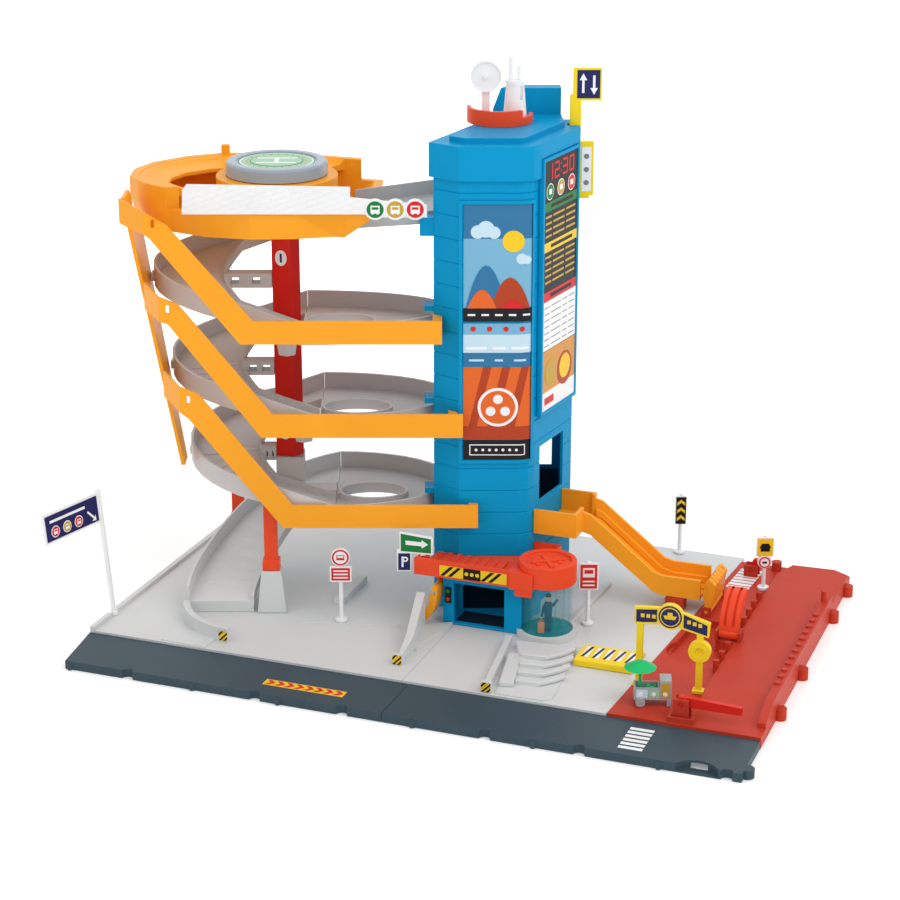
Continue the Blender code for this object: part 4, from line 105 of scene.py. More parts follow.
# Plastic: how far a cloudy patch goes darker, paler and whiter for each part of cloudiness, how far the
# gloss swings, how fine the patches, the skin and the grain are, and how high the skin stands
CLOUD_DARKER = 2.2
CLOUD_PALER = 1.2
CLOUD_WHITER = 0.25
GLOSS_SWING = 0.06
CLOUD_SCALE = 28.0
SKIN_SCALE = 900.0
GRAIN_SCALE = 2600.0
SKIN_HEIGHT = 0.00006

# How fine and how high the parapet's bricks are, and how much the booth's clear wall covers
BRICK_SCALE = 60.0
BRICK_HEIGHT = 0.0005
GLASS_COVER = 0.11

# Light: the world's strength, the floor's glow, the distances over which the floor fades to white, and
# half the floor's width
SKY_LIGHT = 0.74
FLOOR_GLOW = 0.20
FLOOR_FADE = (0.55, 1.6)
FLOOR_HALF = 4.0

UP = (0.0, 0.0, 1.0)


def turned(spot, angle):
    """A place on the ground with a turn about the upright, in degrees."""
    return Matrix.Translation(spot) @ Matrix.Rotation(math.radians(angle), 4, "Z")


TOWER = turned((*TOWER_CORNER, 0.0), TOWER_TURN)
TOWER_ALONG = TOWER.to_3x3() @ Vector((1.0, 0.0, 0.0))


def on_tower(u, v, z=0.0):
    """A point of the tower's plan at a height, in the frame."""
    return TOWER @ Vector((u, v, z))


def linear(red, green, blue):
    """A colour as a picture shows it, 0 to 255, in the renderer's own values."""
    values = []
    for share in (red / 255, green / 255, blue / 255):
        values.append(share / 12.92 if share <= 0.04045 else ((share + 0.055) / 1.055) ** 2.4)
    return tuple(values)


# Finishes

def set_inputs(node, values):
    """Gives inputs of a shader node their values, by name or number."""
    for key, value in values.items():
        node.inputs[key].default_value = value


def added(tree, kind, values=None, **settings):
    """A new shader node with its settings, and with values for some of its inputs."""
    node = tree.nodes.new(f"ShaderNode{kind}")
    for setting, choice in settings.items():
        setattr(node, setting, choice)
    set_inputs(node, values or {})
    return node


def wire(tree, *links):
    """Links between shader nodes, each from a node's output to a node's input."""
    for start, output, end, entry in links:
        tree.links.new(start.outputs[output], end.inputs[entry])


def plain_finish(name):
    """A new material, with its node tree and its shader."""
    finish = bpy.data.materials.new(name)
    finish.use_nodes = True
    return finish, finish.node_tree, finish.node_tree.nodes["Principled BSDF"]


def moulded(name, colour, roughness=0.38, grain=0.0, cloudy=0.03, coat=0.0, shine=0.2):
    """Moulded plastic: a faint cloudiness in the colour, an uneven gloss and a fine skin."""
    finish, tree, shader = plain_finish(name)
    deeper = tuple(value * (1.0 - CLOUD_DARKER * cloudy) for value in colour)
    paler = tuple(min(1.0, value * (1.0 + CLOUD_PALER * cloudy) + CLOUD_WHITER * cloudy) for value in colour)
    place = added(tree, "TexCoord")
    cloud = added(tree, "TexNoise", {"Scale": CLOUD_SCALE, "Detail": 3.0})
    tint = added(tree, "Mix", data_type="RGBA")
    set_inputs(tint, {"A": (*deeper, 1.0), "B": (*paler, 1.0)})
    gloss = added(tree, "MapRange", {"To Min": max(0.05, roughness - GLOSS_SWING),
                                     "To Max": roughness + GLOSS_SWING})
    skin = added(tree, "TexNoise", {"Scale": GRAIN_SCALE if grain else SKIN_SCALE, "Detail": 2.0})
    bump = added(tree, "Bump", {"Strength": 0.10 + 0.5 * grain, "Distance": SKIN_HEIGHT})
    wire(tree, (place, "Object", cloud, "Vector"), (cloud, "Fac", tint, "Factor"),
         (tint, "Result", shader, "Base Color"), (cloud, "Fac", gloss, "Value"),
         (gloss, "Result", shader, "Roughness"), (place, "Object", skin, "Vector"),
         (skin, "Fac", bump, "Height"), (bump, "Normal", shader, "Normal"))
    set_inputs(shader, {"Specular IOR Level": shine})
    if coat:
        set_inputs(shader, {"Coat Weight": coat, "Coat Roughness": 0.12})
    return finish


def printed(name, colour, roughness=0.32):
    """Printed label film: nearly even in colour, smoother than the plastic round it."""
    return moulded(name, colour, roughness, cloudy=0.008, shine=0.15)


def tinted_glass(name, colour):
    """Clear tinted plastic, as the booth's wall is."""
    finish = moulded(name, colour, 0.12, cloudy=0.02, shine=0.5)
    set_inputs(finish.node_tree.nodes["Principled BSDF"], {"Alpha": GLASS_COVER})
    return finish


def brickwork(name, colour):
    """White plastic with a moulded pattern of small bricks."""
    finish = moulded(name, colour, 0.42)
    tree = finish.node_tree
    place, bump = (next(node for node in tree.nodes if node.type == kind) for kind in ("TEX_COORD", "BUMP"))
    turn = added(tree, "Mapping", {"Rotation": (math.radians(-90.0), 0.0, math.radians(-TOWER_TURN))})
    bricks = added(tree, "TexBrick", {"Scale": BRICK_SCALE, "Mortar Size": 0.035,
                                      "Color1": (1.0, 1.0, 1.0, 1.0), "Color2": (0.9, 0.9, 0.9, 1.0),
                                      "Mortar": (0.0, 0.0, 0.0, 1.0)})
    set_inputs(bump, {"Strength": 0.8, "Distance": BRICK_HEIGHT})
    wire(tree, (place, "Object", turn, "Vector"), (turn, "Vector", bricks, "Vector"),
         (bricks, "Color", bump, "Height"))
    return finish


PLASTIC = {
    "cool_grey": moulded("cool_grey_plastic", linear(210, 212, 212), 0.42, grain=0.5, cloudy=0.02),
    "slate": moulded("slate_plastic", linear(56, 74, 84), 0.40, grain=0.4, shine=0.12),
    "pier_red": moulded("pier_red_plastic", linear(190, 58, 38), 0.42, grain=0.5, shine=0.08),
    "tower_blue": moulded("tower_blue_plastic", linear(0, 148, 200), 0.36, cloudy=0.02, shine=0.06),
    "orange": moulded("orange_plastic", linear(248, 164, 36), 0.33, cloudy=0.025, shine=0.12),
    "yellow": moulded("yellow_plastic", linear(246, 214, 34), 0.34, shine=0.15),
    "track_grey": moulded("track_grey_plastic", linear(203, 199, 197), 0.40, cloudy=0.02),
    "red": moulded("red_plastic", linear(216, 34, 22), 0.32, shine=0.15),
    "coral": moulded("coral_plastic", linear(238, 76, 40), 0.34, shine=0.15),
    "white": moulded("white_plastic", linear(238, 239, 240), 0.36, cloudy=0.012),
    "silver": moulded("silver_plastic", linear(160, 172, 182), 0.30, cloudy=0.03, coat=0.2),
    "bridge_grey": moulded("bridge_grey_plastic", linear(186, 190, 192), 0.38),
    "green": moulded("green_plastic", linear(22, 188, 108), 0.36),
    "clear_teal": tinted_glass("clear_teal_plastic", linear(70, 186, 204)),
    "teal": moulded("teal_plastic", linear(0, 128, 130), 0.34),
    "suit": moulded("suit_plastic", linear(40, 46, 78), 0.45),
    "skin": moulded("skin_plastic", linear(222, 170, 138), 0.45),
    "case": moulded("case_plastic", linear(232, 128, 44), 0.40),
    # Painted shade: a near-black blue for the sheets that stand for the shade inside the lift shaft
    "painted_shade_colour": moulded("dark_painted_shade_finish", linear(8, 34, 50), 0.6, shine=0.05),
    "cart_grey": moulded("cart_grey_plastic", linear(166, 169, 172), 0.38),
    "bricks": brickwork("brick_white_plastic", linear(240, 241, 242)),
}

INK_COLOURS = {
    "black": (28, 29, 32), "white": (240, 241, 242), "navy": (38, 40, 92), "green": (28, 122, 58),
    "mint": (150, 200, 165), "yellow": (240, 200, 40), "red": (214, 40, 40), "orange": (226, 104, 40),
    "rust": (178, 66, 34), "sky": (120, 178, 208), "pale_sky": (196, 222, 236), "deep_sky": (52, 116, 160),
    "grey": (128, 132, 136), "amber": (196, 160, 60), "bread": (214, 150, 70),
}
INK = {name: printed(f"{name}_print", linear(*colour)) for name, colour in INK_COLOURS.items()}


# Nodes whose flat faces have openings in them, so that their faces aren't joined
PIERCED = ("arm_low", "arm_middle", "arm_top")


# Meshes

def mesh_from(name, shape, finishes=()):
    """A mesh from a bmesh, which is used up."""
    mesh = bpy.data.meshes.new(name)
    shape.to_mesh(mesh)
    shape.free()
    for finish in finishes:
        mesh.materials.append(finish)
    return mesh


def linked(name, data, spot=(0.0, 0.0, 0.0), aim=None):
    """A new object in the scene at a point, facing along a direction where one is given."""
    item = bpy.data.objects.new(name, data)
    item.location = spot
    if aim is not None:
        item.rotation_euler = aim.to_track_quat("-Z", "Y").to_euler()
    bpy.context.scene.collection.objects.link(item)
    return item


def finished(name, shape, finishes, body, sharp=35.0):
    """An object from a bmesh, riding on a body, with its place in its mesh."""
    mesh = mesh_from(name, shape, finishes)
    mesh.shade_smooth()
    mesh.set_sharp_from_angle(angle=math.radians(sharp))
    piece = linked(name, mesh)
    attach(piece, body)
    return piece


def merged(node, whole_faces=True):
    """A copy of a node's mesh with its doubles merged and, where asked, its flat areas made whole."""
    shape = bmesh.new()
    shape.from_mesh(NODES[node].data)
    bmesh.ops.remove_doubles(shape, verts=shape.verts, dist=SAME)
    if whole_faces:
        bmesh.ops.dissolve_limit(shape, angle_limit=math.radians(0.4), verts=shape.verts, edges=shape.edges)
    return shape


def round_edges(piece, width):
    """A small moulded radius on every sharp edge."""
    step = piece.modifiers.new("edge_radius", "BEVEL")
    step.width = width
    step.segments = 2
    step.profile = 0.5
    step.limit_method = "ANGLE"
    step.angle_limit = math.radians(32.0)
    step.use_clamp_overlap = True
    shading = piece.modifiers.new("face_shading", "WEIGHTED_NORMAL")
    shading.keep_sharp = True


def moulding(name, shape, colour, edge=0.0, body="garage", sharp=35.0):
    """A piece in one plastic, with its edges rounded where a width is given."""
    piece = finished(name, shape, [PLASTIC[colour]], body, sharp)
    if edge:
        round_edges(piece, edge)


def dress(node, finish, edge, shape):
    """The finished form of a node, with its edges rounded, standing for the node."""
    piece = finished(f"{node}_shell", shape, [finish], NODES[node]["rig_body"])
    round_edges(piece, edge)
    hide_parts(node)


def sliced(shape, spot, facing):
    """Cuts a shape's faces along a plane and keeps both sides."""
    everything = shape.verts[:] + shape.edges[:] + shape.faces[:]
    bmesh.ops.bisect_plane(shape, geom=everything, dist=CUT, plane_co=spot, plane_no=facing)


def groove(shape, heights, middle, depth=GROOVE_DEPTH, half=GROOVE_HALF):
    """V-shaped grooves round the outside of an upright wall, at the given heights."""
    for height in heights:
        for level in (height - half, height, height + half):
            sliced(shape, (0.0, 0.0, level), UP)
        shape.normal_update()
        for corner in shape.verts:
            if abs(corner.co.z - height) > SAME:
                continue
            outward = Vector((corner.normal.x, corner.normal.y, 0.0))
            away = Vector((corner.co.x - middle.x, corner.co.y - middle.y, 0.0))
            if outward.length > 0.5 and outward.dot(away) > 0.0:
                corner.co -= outward.normalized() * depth


def bar(left, low, right, high, ink, layer):
    """A printed rectangle."""
    return [(left, low), (right, low), (right, high), (left, high)], ink, layer


def dot(middle, radius, ink, layer, sides=28):
    """A printed disc."""
    outline = []
    for index in range(sides):
        angle = 2.0 * math.pi * index / sides
        outline.append((middle[0] + radius * math.cos(angle), middle[1] + radius * math.sin(angle)))
    return outline, ink, layer


def plane(corner, along, up):
    """A flat face to print on: the point at (s, t), a distance out of the face."""
    corner, along, up = Vector(corner), Vector(along).normalized(), Vector(up).normalized()
    out = along.cross(up)
    return lambda s, t, out_by: corner + along * s + up * t + out * out_by


def round_front(s, t, out_by):
    """The tower's front as one face that goes round its front right corner, s along the plan."""
    run = s
    points = [Vector(point) for point in FRONT_PATH]
    for start, end in zip(points, points[1:]):
        length = (end - start).length
        if run <= length + 1e-9 or end == points[-1]:
            break
        run -= length
    along = (end - start).normalized()
    spot = start + along * run + Vector((along.y, -along.x)) * out_by
    return on_tower(spot.x, spot.y, t)


FRONT_KINKS = (FRONT_PATH[1][0], FRONT_PATH[1][0] + math.dist(FRONT_PATH[1], FRONT_PATH[2]))


def facing_out(shape):
    """A closed shape with all its faces turned outward."""
    bmesh.ops.recalc_face_normals(shape, faces=shape.faces[:])
    return shape


def flat(outline):
    """One flat face through points in space."""
    shape = bmesh.new()
    shape.faces.new([shape.verts.new(spot) for spot in outline])
    return shape


def thickened(shape, reach):
    """A flat shape, pushed along a vector into a closed one."""
    grown = bmesh.ops.extrude_face_region(shape, geom=shape.faces[:])
    far = [item for item in grown["geom"] if isinstance(item, bmesh.types.BMVert)]
    bmesh.ops.translate(shape, verts=far, vec=reach)
    return shape


def label(name, face, shapes, lift=0.0, body="garage", kinks=()):
    """Printed film on a face: flat outlines in colours, each on its own layer."""
    inks = list(dict.fromkeys(ink for outline, ink, layer in shapes))
    films = []
    for outline, ink, layer in shapes:
        film = facing_out(flat([(s, t, 0.0) for s, t in outline]))
        for kink in kinks:
            sliced(film, (kink, 0.0, 0.0), (1.0, 0.0, 0.0))
        thickened(film, (0.0, 0.0, LABEL * (layer + 1)))
        for corner in film.verts:
            corner.co = face(corner.co.x, corner.co.y, corner.co.z + lift)
        for side in facing_out(film).faces:
            side.material_index = inks.index(ink)
        films.append(film)
    return finished(name, joined(films), [INK[ink] for ink in inks], body, sharp=20.0)


def solid(kind, **sizes):
    """A bmesh from one of Blender's own shapes."""
    shape = bmesh.new()
    getattr(bmesh.ops, f"create_{kind}")(shape, **sizes)
    return shape


def moved(shape, matrix):
    """A shape, taken to its place."""
    bmesh.ops.transform(shape, matrix=matrix, verts=shape.verts)
    return shape


def block(low, high):
    """A block between two corners."""
    sizes = [top - bottom for bottom, top in zip(low, high)]
    middle = [(top + bottom) / 2 for bottom, top in zip(low, high)]
    return moved(solid("cube", size=1.0), Matrix.Translation(middle) @ Matrix.Diagonal((*sizes, 1.0)))


def pushed(outline, reach):
    """A flat outline of points in space, pushed along a vector into a closed shape."""
    return facing_out(thickened(flat(outline), reach))


def spun(section, steps):
    """A closed section of (radius, height) points, spun once round the upright."""
    ring = bmesh.new()
    corners = [ring.verts.new((radius, 0.0, height)) for radius, height in section]
    edges = [ring.edges.new((start, end)) for start, end in zip(corners, corners[1:] + corners[:1])]
    bmesh.ops.spin(ring, geom=corners + edges, cent=(0.0, 0.0, 0.0), axis=UP, steps=steps,
                   angle=2.0 * math.pi, use_merge=True)
    bmesh.ops.remove_doubles(ring, verts=ring.verts, dist=SAME)
    return facing_out(ring)


def joined(shapes, matrix=Matrix.Identity(4)):
    """Several shapes as one bmesh, all placed by one matrix."""
    whole = bmesh.new()
    for shape in shapes:
        part = mesh_from("part", shape)
        whole.from_mesh(part)
        bpy.data.meshes.remove(part)
    return moved(whole, matrix)


# The frame's pieces

def shells():
    """Every node of the frame in its own plastic, with moulded edges."""
    finishes = {
        "cool_grey": ("base_left", "base_right", "front_pedestal", "rear_pedestal", "exit_ramp"),
        "slate": ("road_left", "road_right"),
        "pier_red": ("pier", "slide_support"),
        "tower_blue": ("tower_back", "tower_cap", "door_frame", "poster_frame", "board_frame"),
        "orange": ("claw_gate", "door_scoop", "side_fin", "arm_low", "arm_middle", "arm_top", "top_deck",
                   "slide_chute"),
        "yellow": ("hump_plate", "arch", "lift_handle"),
        "track_grey": ("platform_1", "platform_2", "platform_3", "ramp_1", "ramp_2", "ramp_3"),
        "red": ("front_barrier", "rear_barrier", "core_column"),
        "coral": ("boat_lever", "entrance_canopy", "booth_roof", "crescent_base", "front_leg", "rear_leg"),
        "white": ("radar_mast", "radar_dish", "control_tower", "bus_sign", "red_sign", "chevron_sign",
                  "dock_sign", "left_sign", "parking_sign"),
        "silver": ("helipad",),
        "bridge_grey": ("lift_platform", "bridge"),
        "green": ("umbrella",),
        "clear_teal": ("booth_glass",),
        "teal": ("booth_floor",),
        "cart_grey": ("cart_body", "cart_wheels"),
    }
    fine = {"cart_body": FINE_EDGE, "radar_mast": FINE_EDGE, "control_tower": FINE_EDGE}
    for node in ("booth_glass", "cart_wheels", "umbrella", "radar_dish", "poster_frame"):
        fine[node] = FINEST_EDGE
    for slot, nodes in finishes.items():
        for node in nodes:
            dress(node, PLASTIC[slot], fine.get(node, EDGE), merged(node, node not in PIERCED))
    dress("parapet", PLASTIC["bricks"], FINE_EDGE, merged("parapet"))
    shape = merged("tower_front")
    low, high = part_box("tower_front")
    heights = []
    height = low[2] + GROOVE_START
    while height < high[2] - GROOVE_STOP:
        heights.append(height)
        height += GROOVE_PITCH
    groove(shape, heights, on_tower(*TOWER_MIDDLE))
    dress("tower_front", PLASTIC["tower_blue"], FINE_EDGE, shape)


# Printed labels

def hill(left, right, low, high, steps=14):
    """A rounded hill that stands on a level line."""
    points = [(right, low), (left, low)]
    for index in range(1, steps):
        share = index / steps
        points.append((left + (right - left) * share, low + high * math.sin(math.pi * share) ** 0.8))
    return points


# The sides of the printed panels on the tower's front
POSTER_LEFT = 0.0028
POSTER_RIGHT = 0.0540


def hills_panel():
    """Rounded hills under a sky with a sun and clouds, with a dashed road below."""
    shapes = [bar(POSTER_LEFT, 0.2390, POSTER_RIGHT, 0.3262, "sky", 0),
              bar(POSTER_LEFT, 0.3010, POSTER_RIGHT, 0.3262, "deep_sky", 1),
              dot((0.0390, 0.2990), 0.0080, "yellow", 2, 32)]
    for s, t, radius, layer in ((0.0130, 0.3060, 0.0050, 3.0), (0.0190, 0.3080, 0.0062, 3.3),
                                (0.0250, 0.3055, 0.0046, 3.6), (0.0450, 0.2860, 0.0040, 3.0),
                                (0.0490, 0.2850, 0.0032, 3.3)):
        shapes.append(dot((s, t), radius, "pale_sky", layer, 20))
    for left, right, high, ink, layer in ((POSTER_LEFT, 0.0360, 0.0420, "deep_sky", 4),
                                          (0.0200, POSTER_RIGHT, 0.0330, "rust", 5),
                                          (POSTER_LEFT, 0.0300, 0.0240, "orange", 6),
                                          (0.0260, 0.0520, 0.0160, "red", 7)):
        shapes.append((hill(left, right, 0.2390, high), ink, layer))
    shapes.append(bar(POSTER_LEFT, 0.2390, POSTER_RIGHT, 0.2490, "black", 8))
    for s in (0.0060, 0.0160, 0.0260, 0.0360, 0.0460):
        shapes.append(bar(s, 0.2434, s + 0.0055, 0.2448, "white", 9))
    return shapes


def bands_panel():
    """Three blue bands with dashes and a row of dots."""
    shapes = [bar(POSTER_LEFT, 0.2048, POSTER_RIGHT, 0.2374, "pale_sky", 0),
              bar(POSTER_LEFT, 0.2290, POSTER_RIGHT, 0.2374, "sky", 1),
              bar(POSTER_LEFT, 0.2048, POSTER_RIGHT, 0.2150, "deep_sky", 1)]
    for s, width in ((0.0050, 0.0150), (0.0240, 0.0100), (0.0380, 0.0130)):
        shapes.append(bar(s, 0.2175, s + width, 0.2195, "white", 2))
        shapes.append(bar(s + 0.0020, 0.2085, s + width - 0.0020, 0.2100, "pale_sky", 2))
    for index in range(4):
        shapes.append(dot((0.0100 + 0.0120 * index, 0.2332), 0.0020, "red", 2, 18))
    return shapes


def stripes_panel():
    """Slanted stripes behind a ring with three dots."""
    low, high = 0.1476, 0.2040
    middle = (0.0285, 0.1730)
    shapes = [bar(POSTER_LEFT, low, POSTER_RIGHT, high, "orange", 0)]
    for s in (0.0045, 0.0185, 0.0325):
        shapes.append(([(s, low), (s + 0.006, low), (s + 0.019, high), (s + 0.013, high)], "rust", 1))
    shapes.append(bar(POSTER_LEFT, low, POSTER_RIGHT, 0.1580, "rust", 2))
    shapes.append(dot(middle, 0.0150, "white", 3, 40))
    shapes.append(dot(middle, 0.0128, "orange", 4, 40))
    for angle in (90.0, 210.0, 330.0):
        turn = math.radians(angle)
        spot = (middle[0] + 0.0062 * math.cos(turn), middle[1] + 0.0062 * math.sin(turn))
        shapes.append(dot(spot, 0.0036, "white", 5, 22))
    return shapes


def dotted_bar():
    """A dark bar with a thin white frame and a row of dots."""
    shapes = [bar(POSTER_LEFT, 0.1318, POSTER_RIGHT, 0.1472, "black", 0),
              bar(0.0075, 0.1352, 0.0490, 0.1438, "white", 1),
              bar(0.0083, 0.1360, 0.0482, 0.1430, "black", 2)]
    for s in (0.0125, 0.0175, 0.0225, 0.0275, 0.0325, 0.0375, 0.0425):
        shapes.append(dot((s, 0.1395), 0.0011, "white", 3, 12))
    return shapes


def front_pictures():
    """The four plain panels in the frame on the tower's front."""
    shapes = hills_panel() + bands_panel() + stripes_panel() + dotted_bar()
    label("front_pictures", round_front, shapes, 0.0002, kinks=FRONT_KINKS)


# The bars that are lit in each figure: a at the top, round to f, and g across the middle
DIGITS = {"0": "abcdef", "1": "bc", "2": "abged", "3": "abgcd"}


def lit_digit(digit, s, t, wide, high):
    """One figure of the clock, made of lit bars."""
    thick = 0.0016
    middle = t + high / 2
    bars = {
        "a": (s, t + high - thick, s + wide, t + high),
        "b": (s + wide - thick, middle, s + wide, t + high),
        "c": (s + wide - thick, t, s + wide, middle),
        "d": (s, t, s + wide, t + thick),
        "e": (s, t, s + thick, middle),
        "f": (s, middle, s + thick, t + high),
        "g": (s, middle - thick / 2, s + wide, middle + thick / 2),
    }
    return [bar(*bars[name], "red", 1.0 + 0.1 * index) for index, name in enumerate(DIGITS[digit])]


# The sides and the foot of the board on the tower's side
BOARD_LEFT = 0.0048
BOARD_RIGHT = 0.0622
BOARD_LOW = 0.1648


def clock_panel():
    """The clock and three badges."""
    shapes = []
    for digit, s in zip("1230", (0.0100, 0.0215, 0.0355, 0.0470)):
        shapes += lit_digit(digit, s, 0.3395, 0.0085, 0.0120)
    for t in (0.3425, 0.3480):
        shapes.append(bar(0.0320, t, 0.0334, t + 0.0014, "red", 1))
    for ink, s in (("green", 0.0145), ("amber", 0.0330), ("red", 0.0515)):
        shapes.append(dot((s, 0.3310), 0.0062, "white", 1))
        shapes.append(dot((s, 0.3310), 0.0055, ink, 2))
        shapes.append(bar(s - 0.0024, 0.3292, s + 0.0024, 0.3330, "white", 3))
    return shapes


def rows_panel():
    """Coloured headings, each over rows of plain bars."""
    shapes = []
    for ink, top, rows in (("green", 0.3236, 4), ("yellow", 0.2936, 5), ("red", 0.2562, 0)):
        shapes.append(bar(BOARD_LEFT, top - 0.0070, BOARD_RIGHT, top, ink, 1))
        shapes.append(bar(BOARD_LEFT + 0.0120, top - 0.0048, BOARD_RIGHT - 0.0080, top - 0.0022, "black", 2))
        for row in range(rows):
            low = top - 0.0118 - 0.0048 * row
            for near, far in ((0.0075, 0.0180), (0.0205, 0.0400), (0.0430, 0.0590)):
                shapes.append(bar(near, low, far, low + 0.0016, "amber", 1))
    shapes.append(bar(BOARD_LEFT, 0.2115, BOARD_RIGHT, 0.2490, "white", 1))
    for row in range(7):
        low = 0.2145 + 0.0049 * row
        for near, far in ((0.0075, 0.0160), (0.0190, 0.0360), (0.0390, 0.0470), (0.0500, 0.0595)):
            shapes.append(bar(near, low, far, low + 0.0007, "grey", 2))
    return shapes


def rounds_panel():
    """Plain rounds over a white strip with a red tab."""
    return [bar(BOARD_LEFT, BOARD_LOW, BOARD_RIGHT, 0.2110, "bread", 1),
            bar(BOARD_LEFT, BOARD_LOW, BOARD_RIGHT, 0.1790, "white", 2),
            dot((0.0200, 0.1930), 0.0105, "amber", 3),
            dot((0.0440, 0.1900), 0.0130, "rust", 3),
            dot((0.0440, 0.1915), 0.0095, "yellow", 4),
            bar(0.0090, 0.1690, 0.0250, 0.1745, "red", 3)]


def side_board():
    """The information board on the tower's side: a clock, badges and rows of plain bars."""
    start = on_tower(*SIDE_START)
    ground = [bar(BOARD_LEFT, BOARD_LOW, BOARD_RIGHT, 0.3542, "black", 0)]
    shapes = ground + clock_panel() + rows_panel() + rounds_panel()
    label("side_board_print", plane(start, on_tower(*SIDE_END) - start, UP), shapes, 0.0034)


def front_face(x, y):
    """An upright face that looks forward, from a point on the ground."""
    return plane((x, y, 0.0), (1.0, 0.0, 0.0), UP)


def tower_face(u, v):
    """An upright face along the tower's front, from a point of the tower's plan."""
    return plane(on_tower(u, v), TOWER_ALONG, UP)


def flat_face(corner, turn=0.0):
    """A level face that looks up."""
    angle = math.radians(turn)
    return plane(corner, (math.cos(angle), math.sin(angle), 0.0), (-math.sin(angle), math.cos(angle), 0.0))


def chevrons(left, low, right, high, pitch, ink, layer):
    """Arrow bars that fill a strip."""
    shapes = []
    start = left
    middle = (low + high) / 2
    while start + pitch <= right + 1e-9:
        half, end = start + pitch * 0.5, start + pitch
        arrow = [(start, low), (half, low), (end, middle), (half, high), (start, high), (half, middle)]
        shapes.append((arrow, ink, layer))
        start += pitch
    return shapes


def slants(left, low, right, high, pitch, ink, layer):
    """Diagonal hazard bars inside a strip."""
    shapes = []
    lean = high - low
    start = left
    while start + pitch * 0.5 + lean <= right + 1e-9:
        half = start + pitch * 0.5
        shapes.append(([(start, low), (half, low), (half + lean, high), (start + lean, high)], ink, layer))
        start += pitch
    return shapes


def badge(s, t, radius, ink, layer=0):
    """A round badge: a white rim, a coloured disc and a plain bus-like shape."""
    shapes = [dot((s, t), radius, "white", layer), dot((s, t), radius * 0.86, ink, layer + 1)]
    wide, high = radius * 0.46, radius * 0.40
    shapes.append(bar(s - wide, t - high, s + wide, t + high, "white", layer + 2))
    shapes.append(bar(s - wide * 0.72, t, s + wide * 0.72, t + high * 0.62, ink, layer + 3))
    for share in (-0.55, 0.55):
        shapes.append(dot((s + wide * share, t - high), radius * 0.11, "white", layer + 3, 10))
    return shapes


def road_prints():
    """The arrows and the crossing on the front road."""
    road_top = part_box("road_left")[1][2]
    face = flat_face((0.0, 0.0, road_top))
    shapes = [bar(-0.0975, -0.1665, -0.0355, -0.1575, "yellow", 0)]
    shapes += chevrons(-0.0965, -0.1655, -0.0365, -0.1585, 0.0075, "red", 1)
    label("road_chevrons", face, shapes)
    shapes = []
    for index in range(6):
        low = -0.1725 + 0.0058 * index
        shapes.append(bar(0.1680, low, 0.1850, low + 0.0036, "white", 0))
    label("road_crossing", face, shapes)


def pier_prints():
    """The crossing on the pier, whose bars follow its slanted edge."""
    shapes = []
    for index in range(7):
        low = 0.1190 + 0.0060 * index
        high = low + 0.0044
        shift = 0.0702 * (low - 0.1190)
        shapes.append(([(0.1690 + shift, low), (0.1870 + shift, low), (0.1873 + shift, high),
                        (0.1693 + shift, high)], "white", 0))
    label("pier_crossing", flat_face((0.0, 0.0, PIER_TOP)), shapes)


def hump_prints():
    """The white and black bars on the speed bump."""
    low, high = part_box("hump_plate")
    near, far = low[1] + 0.0055, high[1] - 0.0135
    shapes = []
    for index in range(5):
        left = low[0] + 0.0035 + 0.0082 * index
        shapes.append(bar(left, near, left + 0.0050, far, "white", 0))
        shapes.append(([(left, near), (left + 0.0020, near), (left + 0.0050, far), (left + 0.0030, far)],
                       "black", 1))
    label("hump_marks", flat_face((0.0, 0.0, high[2])), shapes)


def canopy_print():
    """The hazard strip on the entrance roof, with three lamps in its middle."""
    shapes = [bar(-0.0130, 0.0505, 0.0400, 0.0590, "yellow", 0)]
    shapes += slants(-0.0125, 0.0508, 0.0060, 0.0587, 0.0060, "black", 1)
    shapes += slants(0.0195, 0.0508, 0.0398, 0.0587, 0.0060, "black", 1)
    shapes.append(bar(0.0060, 0.0505, 0.0195, 0.0590, "black", 2))
    for s in (0.0085, 0.0128, 0.0170):
        shapes.append(dot((s, 0.0548), 0.0015, "yellow", 3, 14))
    label("canopy_hazard_strip", front_face(0.0, -0.0330), shapes)


def parapet_print():
    """The three badges on the parapet's right end."""
    shapes = []
    for s, ink in ((-0.061, "green"), (-0.0465, "amber"), (-0.032, "red")):
        shapes += badge(s, 0.3200, 0.0072, ink)
    label("parapet_badges", tower_face(0.0, 0.0100), shapes)


def arch_prints():
    """The dark panels with plain bars on the arch, and the round print in its middle."""
    start = Vector((0.1552, -0.0775, 0.0))
    end = Vector((0.1980, -0.0745, 0.0))
    span = (end - start).length
    face = plane(start, (end - start).normalized(), UP)
    shapes = [([(-0.0028, 0.0575), (0.0120, 0.0592), (0.0120, 0.0688), (-0.0028, 0.0672)], "navy", 0),
              ([(0.0310, 0.0572), (span + 0.0050, 0.0530), (span + 0.0050, 0.0608), (0.0310, 0.0672)],
               "navy", 0)]
    for s in (0.0005, 0.0045, 0.0085):
        shapes.append(bar(s, 0.0618, s + 0.0026, 0.0646, "yellow", 1))
    for s, low in ((0.0335, 0.0605), (0.0375, 0.0596), (0.0415, 0.0588)):
        shapes.append(bar(s, low, s + 0.0026, low + 0.0028, "yellow", 1))
    label("arch_panels", face, shapes, lift=0.0015)
    half = span / 2
    shapes = []
    for layer, (radius, ink) in enumerate(((0.0084, "navy"), (0.0072, "yellow"), (0.0064, "navy"))):
        shapes.append(dot((half, 0.0645), radius, ink, layer))
    shapes.append(([(half - 0.0036, 0.0628), (half + 0.0036, 0.0628), (half + 0.0048, 0.0655),
                    (half - 0.0048, 0.0655)], "yellow", 3))
    shapes.append(bar(half - 0.0018, 0.0655, half + 0.0018, 0.0680, "yellow", 3))
    label("arch_disc_print", face, shapes, lift=0.0023)


